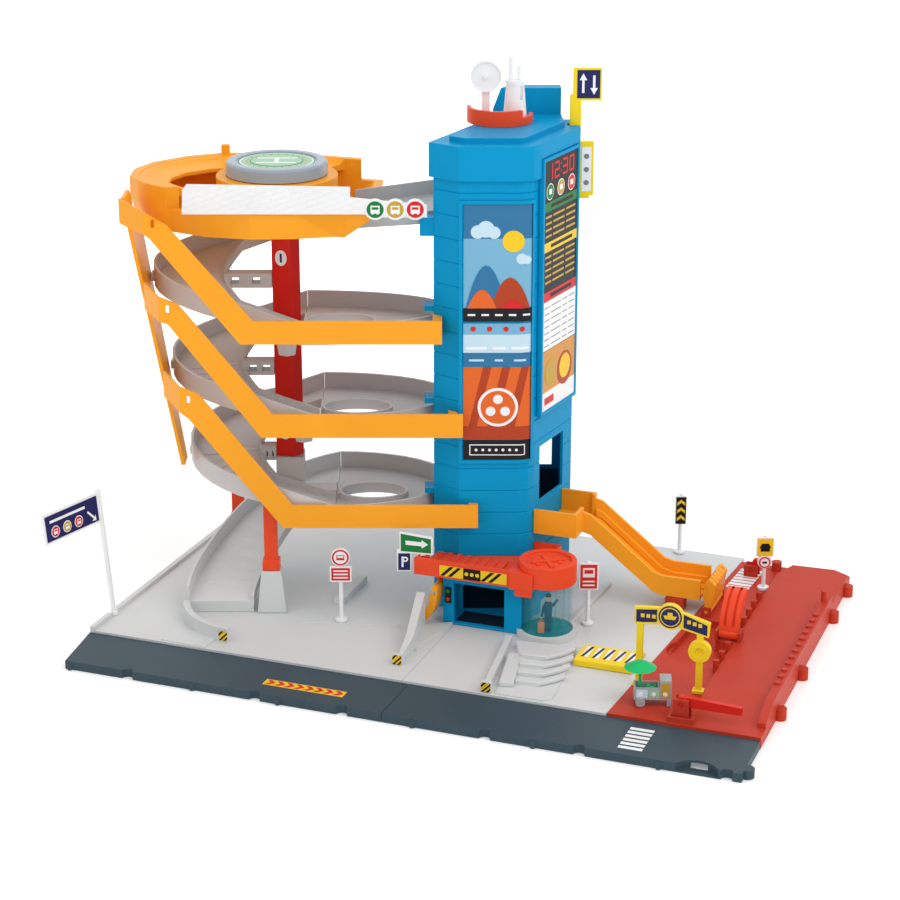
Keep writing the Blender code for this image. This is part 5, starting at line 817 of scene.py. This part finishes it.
def lift_prints():
    """The flag's arrows and the label on the grip."""
    face = tower_face(0.0, 0.0751)
    shapes = [bar(0.0870, 0.3885, 0.1040, 0.4095, "navy", 0)]
    for s, point, base, tail in ((0.0915, 0.4070, 0.4020, 0.3925), (0.0995, 0.3912, 0.3962, 0.4055)):
        shapes.append(([(s - 0.0028, base), (s + 0.0028, base), (s, point)], "white", 1))
        shapes.append(bar(s - 0.0009, min(base, tail), s + 0.0009, max(base, tail), "white", 1))
    label("flag_print", face, shapes, body="lift")
    shapes = [bar(0.0915, 0.3185, 0.0985, 0.3520, "white", 0)]
    for row in range(3):
        shapes.append(dot((0.0950, 0.3250 + 0.0100 * row), 0.0020, "grey", 1, 16))
    label("grip_print", face, shapes, body="lift")


# How far a small sign's face is in front of its post's middle
SIGN_FRONT = 0.0022


def sign_face(x, y):
    """The face of a small sign whose post stands at a point of the ground."""
    out = TOWER_ALONG.cross(Vector(UP))
    return plane(Vector((x, y, 0.0)) + out * SIGN_FRONT, TOWER_ALONG, UP)


def bus_sign_print():
    """A ring with a plain mark over a plate with three bars."""
    shapes = [dot((0.0, 0.0605), 0.0064, "red", 0), dot((0.0, 0.0605), 0.0050, "white", 1),
              bar(-0.0030, 0.0585, 0.0030, 0.0625, "red", 2),
              bar(-0.0023, 0.0604, 0.0023, 0.0618, "white", 3),
              bar(-0.0070, 0.0420, 0.0070, 0.0520, "red", 0)]
    for row in range(3):
        low = 0.0437 + 0.0027 * row
        shapes.append(bar(-0.0055, low, 0.0055, low + 0.0011, "white", 1))
    label("bus_sign_print", sign_face(-0.087, -0.047), shapes)


def red_sign_print():
    """A red plate with a white window and two bars."""
    shapes = [bar(-0.0063, 0.0379, 0.0063, 0.0571, "red", 0),
              bar(-0.0044, 0.0470, 0.0044, 0.0545, "white", 1),
              bar(-0.0033, 0.0500, 0.0033, 0.0530, "red", 2),
              bar(-0.0044, 0.0400, 0.0044, 0.0412, "white", 1),
              bar(-0.0044, 0.0430, 0.0044, 0.0442, "white", 1)]
    label("red_sign_print", sign_face(0.089, 0.013), shapes)


def chevron_sign_print():
    """Three arrows, one above the other, on a dark plate."""
    shapes = [bar(-0.0040, 0.0340, 0.0040, 0.0570, "black", 0)]
    for row in range(3):
        low = 0.0365 + 0.0066 * row
        shapes.append(([(-0.0032, low), (0.0, low + 0.0026), (0.0032, low), (0.0032, low + 0.0026),
                        (0.0, low + 0.0052), (-0.0032, low + 0.0026)], "yellow", 1))
    label("chevron_sign_print", sign_face(0.116, 0.176), shapes)


def dock_sign_print():
    """A plain dark mark on yellow, over a ring with a bar."""
    shapes = [bar(-0.0060, 0.0373, 0.0060, 0.0517, "yellow", 0),
              bar(-0.0036, 0.0410, 0.0036, 0.0440, "black", 1),
              ([(-0.0046, 0.0440), (0.0046, 0.0440), (0.0026, 0.0476), (-0.0026, 0.0476)], "black", 1),
              dot((0.0, 0.0318), 0.0046, "red", 0), dot((0.0, 0.0318), 0.0034, "white", 1),
              bar(-0.0018, 0.0310, 0.0018, 0.0326, "black", 2)]
    label("dock_sign_print", sign_face(0.1975, 0.1245), shapes)


def left_sign_print():
    """Three badges, a bar and an arrow on the tall leaning sign."""
    foot = Vector((-0.2542, -0.0970, 0.0083))
    lean = turned(foot, -13.0) @ Matrix.Rotation(math.radians(-6.0), 4, "Y") @ Matrix.Translation(-foot)
    turn = lean.to_3x3()
    face = plane(lean @ Vector((-0.2525, -0.1580, 0.0)), turn @ Vector((0.0, 1.0, 0.0)), turn @ Vector(UP))
    shapes = [bar(0.0015, 0.0850, 0.0575, 0.1045, "navy", 0),
              bar(0.0060, 0.0985, 0.0440, 0.1005, "white", 1)]
    for s, ink in ((0.0110, "red"), (0.0235, "amber"), (0.0360, "red")):
        shapes += badge(s, 0.0912, 0.0044, ink, 1)
    shapes.append(([(0.0455, 0.0945), (0.0520, 0.0880), (0.0500, 0.0868), (0.0545, 0.0862), (0.0541, 0.0908),
                    (0.0532, 0.0891), (0.0467, 0.0957)], "white", 1))
    label("left_sign_print", face, shapes)


def parking_sign_print():
    """A green arrow and a dark plate with a P."""
    middle = TOWER.inverted() @ Vector((-0.0315, -0.0275, 0.0))
    shapes = [([(-0.0135, 0.0664), (0.0090, 0.0644), (0.0090, 0.0757), (-0.0135, 0.0803)], "green", 0),
              ([(-0.0100, 0.0715), (0.0020, 0.0702), (0.0020, 0.0684), (0.0068, 0.0714), (0.0020, 0.0752),
                (0.0020, 0.0734), (-0.0100, 0.0748)], "white", 1),
              bar(-0.0155, 0.0510, -0.0065, 0.0645, "navy", 0),
              bar(-0.0130, 0.0535, -0.0115, 0.0620, "white", 1),
              dot((-0.0102, 0.0598), 0.0021, "white", 1, 18),
              dot((-0.0102, 0.0598), 0.0009, "navy", 2, 12)]
    label("parking_sign_print", tower_face(middle.x, middle.y - SIGN_FRONT), shapes)


def pad_print():
    """The landing pad's green field with a ring, a ring of dots and an H."""
    face = flat_face(on_tower(*PAD_MIDDLE, PAD_TOP), TOWER_TURN)
    shapes = []
    for layer, (radius, ink, sides) in enumerate(((0.0285, "green", 48), (0.0278, "white", 48),
                                                  (0.0265, "mint", 48), (0.0200, "green", 40),
                                                  (0.0192, "mint", 40))):
        shapes.append(dot((0.0, 0.0), radius, ink, layer, sides))
    for low in (0.0062, -0.0092):
        shapes.append(bar(-0.0150, low, 0.0150, low + 0.0030, "white", 5))
    shapes.append(bar(-0.0016, -0.0064, 0.0016, 0.0064, "white", 5))
    for index in range(24):
        angle = math.radians(15.0 * index)
        shapes.append(dot((0.0222 * math.cos(angle), 0.0222 * math.sin(angle)), 0.0009, "orange", 3, 10))
    label("pad_print", face, shapes, body="helipad_disc")


def column_print():
    """The small white ovals on the red column, one a level."""
    along = TOWER.to_3x3() @ (Vector((-0.1260, 0.0480, 0.0)) - Vector((-0.1400, 0.0510, 0.0)))
    face = plane(on_tower(-0.1330, 0.04945), along, UP)
    shapes = []
    for height in (0.2735, 0.2050, 0.1365):
        oval = [(0.0045 * math.cos(angle), height + 0.0060 * math.sin(angle))
                for angle in (2.0 * math.pi * index / 28 for index in range(28))]
        shapes.append((oval, "white", 0))
        shapes.append(bar(-0.0008, height - 0.0034, 0.0008, height + 0.0034, "navy", 1))
    label("column_ovals", face, shapes)


# Small shaped details

def pad_rim():
    """The raised collar round the landing pad's edge."""
    section = ((0.0300, 0.0), (0.0372, 0.0), (0.0372, 0.0005), (0.0360, 0.0014), (0.0308, 0.0014),
               (0.0300, 0.0008))
    ring = moved(spun(section, 64), Matrix.Translation(on_tower(*PAD_MIDDLE, PAD_TOP)))
    moulding("pad_rim", ring, "silver", body="helipad_disc")


def pad_seat():
    """The round step of the top deck under the landing pad, on four short ribs."""
    section = ((0.0330, 0.3290), (0.0438, 0.3290), (0.0438, 0.3120), (0.0455, 0.3120), (0.0455, 0.3320),
               (0.0448, 0.3326), (0.0330, 0.3326))
    parts = [spun(section, 56)]
    for angle in (20.0, 80.0, 220.0, 300.0):
        place = Matrix.Rotation(math.radians(angle), 4, "Z") @ Matrix.Translation((0.0406, 0.0, 0.3062))
        parts.append(moved(solid("cube", size=1.0), place @ Matrix.Diagonal((0.0094, 0.0022, 0.0124, 1.0))))
    shape = moved(joined(parts), TOWER @ Matrix.Translation((*PAD_MIDDLE, 0.0)))
    moulding("pad_seat", shape, "orange", sharp=40.0)


def cart_goods():
    """Small rounded goods in the cart's tray and a label on its side."""
    turn = turned((0.1720, -0.1020, 0.0), 18.0)
    balls = []
    for x, y, radius in ((-0.0030, 0.0020, 0.0022), (-0.0002, -0.0018, 0.0024), (0.0022, 0.0018, 0.0020)):
        goods = solid("icosphere", subdivisions=2, radius=radius)
        balls.append(moved(goods, Matrix.Translation((x, y, 0.0196))))
    moulding("cart_goods", joined(balls, turn), "green", body="cart", sharp=60.0)
    face = plane(turn @ Vector((0.0, -0.00625, 0.0)), turn.to_3x3() @ Vector((1.0, 0.0, 0.0)), UP)
    shapes = [bar(-0.0115, 0.0150, -0.0035, 0.0212, "pale_sky", 0),
              bar(-0.0025, 0.0150, 0.0045, 0.0212, "mint", 0),
              bar(0.0055, 0.0150, 0.0120, 0.0265, "amber", 0)]
    for s in (-0.0083, 0.0007, 0.0087):
        shapes.append(dot((s, 0.0180), 0.0016, "white", 1, 14))
    label("cart_labels", face, shapes, body="cart")


def hazard_ends():
    """The striped plates on the ends of the three curbs."""
    spots = [("curb_end_stripes", front_face(-0.1570, -0.1142), 0.0, 0.0096)]
    blocks = []
    for name, left, front in (("guard_end_stripes", -0.0222, -0.1058),
                              ("apron_end_stripes", 0.0536, -0.1268)):
        blocks.append(block((left, front, 0.0081), (left + 0.0078, front + 0.0034, 0.0162)))
        spots.append((name, front_face(left, front), 0.0004, 0.0086))
    moulding("curb_ends", joined(blocks), "cool_grey", 0.0004)
    for name, face, left, low in spots:
        right, high = left + 0.0070, low + 0.0072
        shapes = [bar(left, low, right, high, "yellow", 0)]
        for shift in (0.0, 0.0036):
            shapes.append(([(left + shift, low), (left + shift + 0.0018, low), (right, low + 0.0052 - shift),
                            (right, low + 0.0070 - shift)], "black", 1))
        shapes.append(([(left, low + 0.0030), (left + 0.0040, high), (left + 0.0022, high),
                        (left, low + 0.0050)], "black", 1))
        label(name, face, shapes, lift=0.0002)


def door_light():
    """The small traffic light on the door's left post."""
    case = block((-0.0118, -0.0252, 0.0255), (-0.0068, -0.0241, 0.0385))
    light = finished("door_light_case", case, [INK["black"]], "garage")
    round_edges(light, 0.0003)
    lamps = [dot((-0.0093, 0.0352), 0.0016, "green", 0, 18), dot((-0.0093, 0.0288), 0.0016, "rust", 0, 18)]
    label("door_light_lamps", front_face(0.0, -0.0240), lamps, lift=0.0013)


def bent_bar(points, width, low, high):
    """A bar of even width along a bent line, between two heights."""
    line = [Vector(point) for point in points]
    sides = []
    for index, spot in enumerate(line):
        before = line[max(index - 1, 0)]
        after = line[min(index + 1, len(line) - 1)]
        along = (after - before).normalized()
        sides.append((spot, Vector((-along.y, along.x)) * width / 2))
    outline = [spot + across for spot, across in sides] + [spot - across for spot, across in reversed(sides)]
    return pushed([(spot.x, spot.y, low) for spot in outline], (0.0, 0.0, high - low))


# The front edge of each of the four steps, from the lowest up
STEP_NOSES = (((0.0725, -0.1084), (0.0897, -0.1070), (0.0975, -0.0985), (0.1021, -0.0897)),
              ((0.0700, -0.0964), (0.0874, -0.0948), (0.0958, -0.0850), (0.1009, -0.0745)),
              ((0.0674, -0.0842), (0.0851, -0.0825), (0.0940, -0.0722), (0.0995, -0.0616)),
              ((0.0638, -0.0708), (0.0828, -0.0703), (0.0912, -0.0602), (0.0966, -0.0492)))


def steps():
    """The rounded noses of the four steps and the broad cheek beside them."""
    treads = []
    for number, nose in enumerate(STEP_NOSES):
        low = 0.0092 + 0.0010 * number
        treads.append(bent_bar([(x, y + 0.0030) for x, y in nose], 0.0052, low, low + 0.0030))
    moulding("step_noses", joined(treads), "cool_grey", 0.0008)
    cheek = bent_bar(((0.0585, -0.0655), (0.0685, -0.1150)), 0.0105, 0.0088, 0.0128)
    moulding("step_cheek", cheek, "cool_grey", 0.0009)


def upright_cone(x, y, low, high, foot, head, tilt=0.0):
    """A cone or a rod between two heights, tilted about its middle."""
    shape = solid("cone", cap_ends=True, segments=20, radius1=foot, radius2=head, depth=high - low)
    turn = Matrix.Rotation(math.radians(tilt), 4, "Y")
    return moved(shape, Matrix.Translation((x, y, (low + high) / 2)) @ turn)


def ball(x, y, z, radius):
    """A smooth ball at a point."""
    shape = solid("uvsphere", u_segments=20, v_segments=12, radius=radius)
    return moved(shape, Matrix.Translation((x, y, z)))


def traveller():
    """The small figure with a case inside the booth."""
    spot = turned((0.0680, -0.0190, 0.0121), 20.0)
    suit = [upright_cone(-0.0013, 0.0, 0.0, 0.0125, 0.0013, 0.0014),
            upright_cone(0.0013, 0.0, 0.0, 0.0125, 0.0013, 0.0014),
            upright_cone(0.0, 0.0, 0.0118, 0.0218, 0.0027, 0.0034),
            upright_cone(-0.0040, 0.0, 0.0118, 0.0208, 0.0009, 0.0011, 12.0),
            upright_cone(0.0052, 0.0, 0.0200, 0.0262, 0.0011, 0.0009, 38.0),
            ball(0.0, 0.0, 0.0218, 0.0028),
            upright_cone(0.0, 0.0, 0.0282, 0.0296, 0.0024, 0.0020)]
    moulding("traveller_suit", joined(suit, spot), "suit", sharp=50.0)
    skin = [ball(0.0, 0.0, 0.0262, 0.0024), ball(0.0076, 0.0, 0.0272, 0.0010),
            ball(-0.0050, 0.0, 0.0114, 0.0010)]
    moulding("traveller_skin", joined(skin, spot), "skin", sharp=60.0)
    luggage = [block((-0.0078, -0.0052, 0.0004), (-0.0028, -0.0022, 0.0088)),
               block((-0.0064, -0.0040, 0.0086), (-0.0058, -0.0034, 0.0108)),
               block((-0.0048, -0.0040, 0.0086), (-0.0042, -0.0034, 0.0108)),
               block((-0.0064, -0.0040, 0.0104), (-0.0042, -0.0034, 0.0110))]
    moulding("traveller_case", joined(luggage, spot), "case", 0.0003)


# The middle of the round booth
BOOTH_MIDDLE = (0.0655, -0.0135, 0.0)


def booth_ribs():
    """The thin upright ribs on the booth's clear wall."""
    ribs = []
    for angle in (-165.0, -140.0, -115.0, -52.0, -28.0, -5.0):
        rib = block((0.0170, -0.0004, 0.0124), (0.0176, 0.0004, 0.0500))
        ribs.append(moved(rib, turned(BOOTH_MIDDLE, angle)))
    moulding("booth_ribs", joined(ribs), "clear_teal")


def roof_pattern():
    """The raised bars on the booth's round roof."""
    raised = []
    for x, wide, deep, top in ((0.0, 0.0250, 0.0032, 0.0668), (0.0, 0.0036, 0.0240, 0.0665),
                               (-0.0085, 0.0028, 0.0120, 0.0662), (0.0085, 0.0028, 0.0120, 0.0662)):
        raised.append(block((x - wide / 2, -deep / 2, 0.0651), (x + wide / 2, deep / 2, top)))
    moulding("booth_roof_pattern", joined(raised, turned(BOOTH_MIDDLE, 35.0)), "coral")


# The ledge in the top deck: the rim's line, the point that it faces, and its section inward from the line
DECK_MIDDLE = Vector((-0.150, 0.078))
LEDGE_SECTION = ((0.0066, 0.3316), (0.0110, 0.3312), (0.0150, 0.3282), (0.0290, 0.3262), (0.0290, 0.3230),
                 (0.0066, 0.3230))
DECK_LINE = ((-0.080, 0.1335), (-0.104, 0.1400), (-0.150, 0.1500), (-0.182, 0.1500), (-0.210, 0.1380),
             (-0.234, 0.1160), (-0.245, 0.0920), (-0.2455, 0.0670), (-0.232, 0.0440), (-0.2150, 0.0300))


def lofted(rings):
    """A closed shape through rings of points, all with the same number of corners."""
    shape = bmesh.new()
    rings = [[shape.verts.new(spot) for spot in ring] for ring in rings]
    for ring, following in zip(rings, rings[1:]):
        for index in range(len(ring)):
            after = (index + 1) % len(ring)
            shape.faces.new((ring[index], ring[after], following[after], following[index]))
    shape.faces.new(rings[0])
    shape.faces.new(rings[-1][::-1])
    return facing_out(shape)


def deck_ledge():
    """The sloping ledge inside the top deck's high rim."""
    rings = []
    for spot in map(Vector, DECK_LINE):
        inward = (DECK_MIDDLE - spot).normalized()
        rings.append([(*(spot + inward * distance), height) for distance, height in LEDGE_SECTION])
    moulding("deck_ledge", moved(lofted(rings), TOWER), "orange", 0.0006, sharp=40.0)


def ribbon(spots, across, up):
    """A bar that follows points in space, with a width across and a height upward."""
    wide, high = Vector(across), Vector((0.0, 0.0, up))
    return lofted([(spot, spot + wide, spot + wide + high, spot + high) for spot in map(Vector, spots)])


# The middle of the slide's floor, from the tower down
SLIDE_SPOTS = ((0.0760, 0.0600, 0.0722), (0.0810, 0.0613, 0.0700), (0.1265, 0.0738, 0.0253),
               (0.1345, 0.0756, 0.0226), (0.1620, 0.0779, 0.0216))


def slide_rails():
    """The moulded rails along the slide's floor, beside its walls and in its middle."""
    rails = []
    for offset, width, height in ((-0.0142, 0.0030, 0.0058), (0.0112, 0.0030, 0.0058),
                                  (-0.0008, 0.0016, 0.0012)):
        spots = [(x, y + offset, z) for x, y, z in SLIDE_SPOTS]
        rails.append(ribbon(spots, (0.0, width, 0.0), height))
    moulding("slide_rails", joined(rails), "orange", 0.0005)


# One claw's foot, and its outline from there: how far outward and how high
CLAW_FOOT = (0.1695, 0.0765, 0.0125)
CLAW_OUTLINE = ((-0.0012, 0.0050), (-0.0036, 0.0090), (-0.0040, 0.0150), (-0.0018, 0.0205), (0.0022, 0.0250),
                (0.0042, 0.0236), (0.0050, 0.0180), (0.0046, 0.0100), (0.0030, 0.0050))


def gate_claws():
    """The curved claws on the gate at the slide's end, with their pointed tops."""
    x, y, z = CLAW_FOOT
    claws = []
    for index in range(5):
        start = y - 0.0176 + 0.0080 * index
        outline = [(x + across, start, z + height) for across, height in CLAW_OUTLINE]
        claws.append(pushed(outline, (0.0, 0.0030, 0.0)))
    moulding("gate_claws", joined(claws), "orange", 0.0006, body="claw")


# The inside of the lift shaft, in the tower's own (u, v), whose floor the painted shade covers
SHAFT_PLAN = ((0.0015, 0.0040), (0.0440, 0.0040), (0.0500, 0.0064), (0.0530, 0.0105), (0.0815, 0.0670),
              (0.0800, 0.0950), (0.0268, 0.0950), (-0.0140, 0.0168))


def lift_shaft_painted_shade():
    """Painted shade: dark sheets behind the entrance, at the shaft's floor and on the door's sill, where the
    lift shaft's inside falls into shade.
    """
    back = block((0.0266, 0.0954, 0.0090), (0.0780, 0.0957, 0.0900))
    bottom = flat([(u, v, 0.0086) for u, v in SHAFT_PLAN])
    door_low = max(corner.co.z for corner in NODES["door_frame"].data.vertices if corner.co.z < 0.014)
    sill = block((-0.0046, -0.0195, door_low + 0.0001), (0.0346, -0.0010, door_low + 0.0004))
    shape = joined([joined([back, bottom], TOWER), sill])
    moulding("lift_shaft_painted_shade", shape, "painted_shade_colour")


def plate_details():
    """The raised tile and the three ridges moulded on the base plates."""
    corners = ((-0.1985, -0.1265), (-0.1620, -0.1280), (-0.1600, -0.1050), (-0.1960, -0.1035))
    shapes = [pushed([(x, y, PLATE_TOP) for x, y in corners], (0.0, 0.0, 0.0011))]
    for start, end, width, top in (((-0.1010, -0.0200), (-0.1020, 0.0300), 0.0085, 0.0135),
                                   ((-0.1250, -0.0640), (-0.0420, -0.0400), 0.0016, 0.0086),
                                   ((0.0770, 0.0060), (0.0830, 0.0910), 0.0030, 0.0108)):
        shapes.append(bent_bar((start, end), width, PLATE_TOP, top))
    moulding("plate_details", joined(shapes), "cool_grey", 0.0006)


def arch_disc():
    """The shallow plate that closes the ring under the arch."""
    plate = solid("cone", cap_ends=True, segments=32, radius1=0.0040, radius2=0.0040, depth=0.0016)
    place = Matrix.Translation((0.1980, -0.0745, 0.0405)) @ Matrix.Rotation(math.radians(90.0), 4, "X")
    moulding("arch_ring_plate", moved(plate, place), "yellow")


# The stage

# Each lamp's name, place, size and power, and the point that all of them face
LAMPS = (("key", (1.5, -0.5, 1.7), 1.6, 17.0), ("fill", (-1.1, -1.3, 1.6), 1.6, 7.0),
         ("back", (-0.3, 1.6, 1.8), 1.4, 8.0))
LAMP_TARGET = (0.0, 0.0, 0.15)


def paper():
    """White paper that fades to plain white far from the object, as the camera sees it."""
    finish, tree, shader = plain_finish("floor_paper")
    set_inputs(shader, {"Base Color": (0.93, 0.93, 0.93, 1.0), "Emission Color": (1.0, 1.0, 1.0, 1.0),
                        "Roughness": 0.9, "Specular IOR Level": 0.1})
    place = added(tree, "TexCoord")
    away = added(tree, "VectorMath", operation="LENGTH")
    fade = added(tree, "MapRange", {"From Min": FLOOR_FADE[0], "From Max": FLOOR_FADE[1]})
    sight = added(tree, "LightPath")
    glow = added(tree, "Math", {2: FLOOR_GLOW}, operation="MULTIPLY_ADD")
    wire(tree, (place, "Object", away, 0), (away, "Value", fade, "Value"), (fade, "Result", glow, 0),
         (sight, "Is Camera Ray", glow, 1), (glow, "Value", shader, "Emission Strength"))
    return finish


def floor():
    """The pale floor under the object."""
    sheet = solid("grid", x_segments=1, y_segments=1, size=FLOOR_HALF)
    linked("floor", mesh_from("floor", sheet, [paper()]), (0.0, 0.0, -0.0002))


def studio():
    """A soft white world, plain white where it is seen, mirrored or looked through, and three soft lamps."""
    world = bpy.data.worlds.new("studio")
    world.use_nodes = True
    tree = world.node_tree
    background = tree.nodes["Background"]
    set_inputs(background, {"Color": (1.0, 1.0, 1.0, 1.0)})
    path = added(tree, "LightPath")
    strength = added(tree, "MapRange", {"To Min": SKY_LIGHT, "To Max": 1.0})
    seen, output = path, "Is Camera Ray"
    for ray in ("Is Glossy Ray", "Is Transmission Ray"):
        both = added(tree, "Math")
        wire(tree, (seen, output, both, 0), (path, ray, both, 1))
        seen, output = both, "Value"
    wire(tree, (seen, output, strength, "Value"), (strength, "Result", background, "Strength"))
    bpy.context.scene.world = world
    for name, spot, size, power in LAMPS:
        lamp = bpy.data.lights.new(name, "AREA")
        lamp.size = size
        lamp.energy = power
        linked(name, lamp, spot, Vector(LAMP_TARGET) - Vector(spot))


def photograph_camera():
    """The camera where the photograph was taken from."""
    lens = bpy.data.cameras.new("camera")
    lens.lens = CAMERA_LENS
    lens.sensor_width = 36.0
    azimuth, elevation = math.radians(CAMERA_AZIMUTH), math.radians(CAMERA_ELEVATION)
    aim = Vector((-math.sin(azimuth) * math.cos(elevation), math.cos(azimuth) * math.cos(elevation),
                  -math.sin(elevation)))
    bpy.context.scene.camera = linked("camera", lens, CAMERA_SPOT, aim)
    bpy.context.scene.view_settings.view_transform = "Standard"


shells()
front_pictures()
side_board()
road_prints()
pier_prints()
hump_prints()
canopy_print()
parapet_print()
arch_prints()
lift_prints()
bus_sign_print()
red_sign_print()
chevron_sign_print()
dock_sign_print()
left_sign_print()
parking_sign_print()
pad_print()
column_print()
pad_rim()
pad_seat()
cart_goods()
hazard_ends()
door_light()
steps()
traveller()
booth_ribs()
roof_pattern()
deck_ledge()
plate_details()
arch_disc()
slide_rails()
gate_claws()
lift_shaft_painted_shade()
floor()
studio()
photograph_camera()
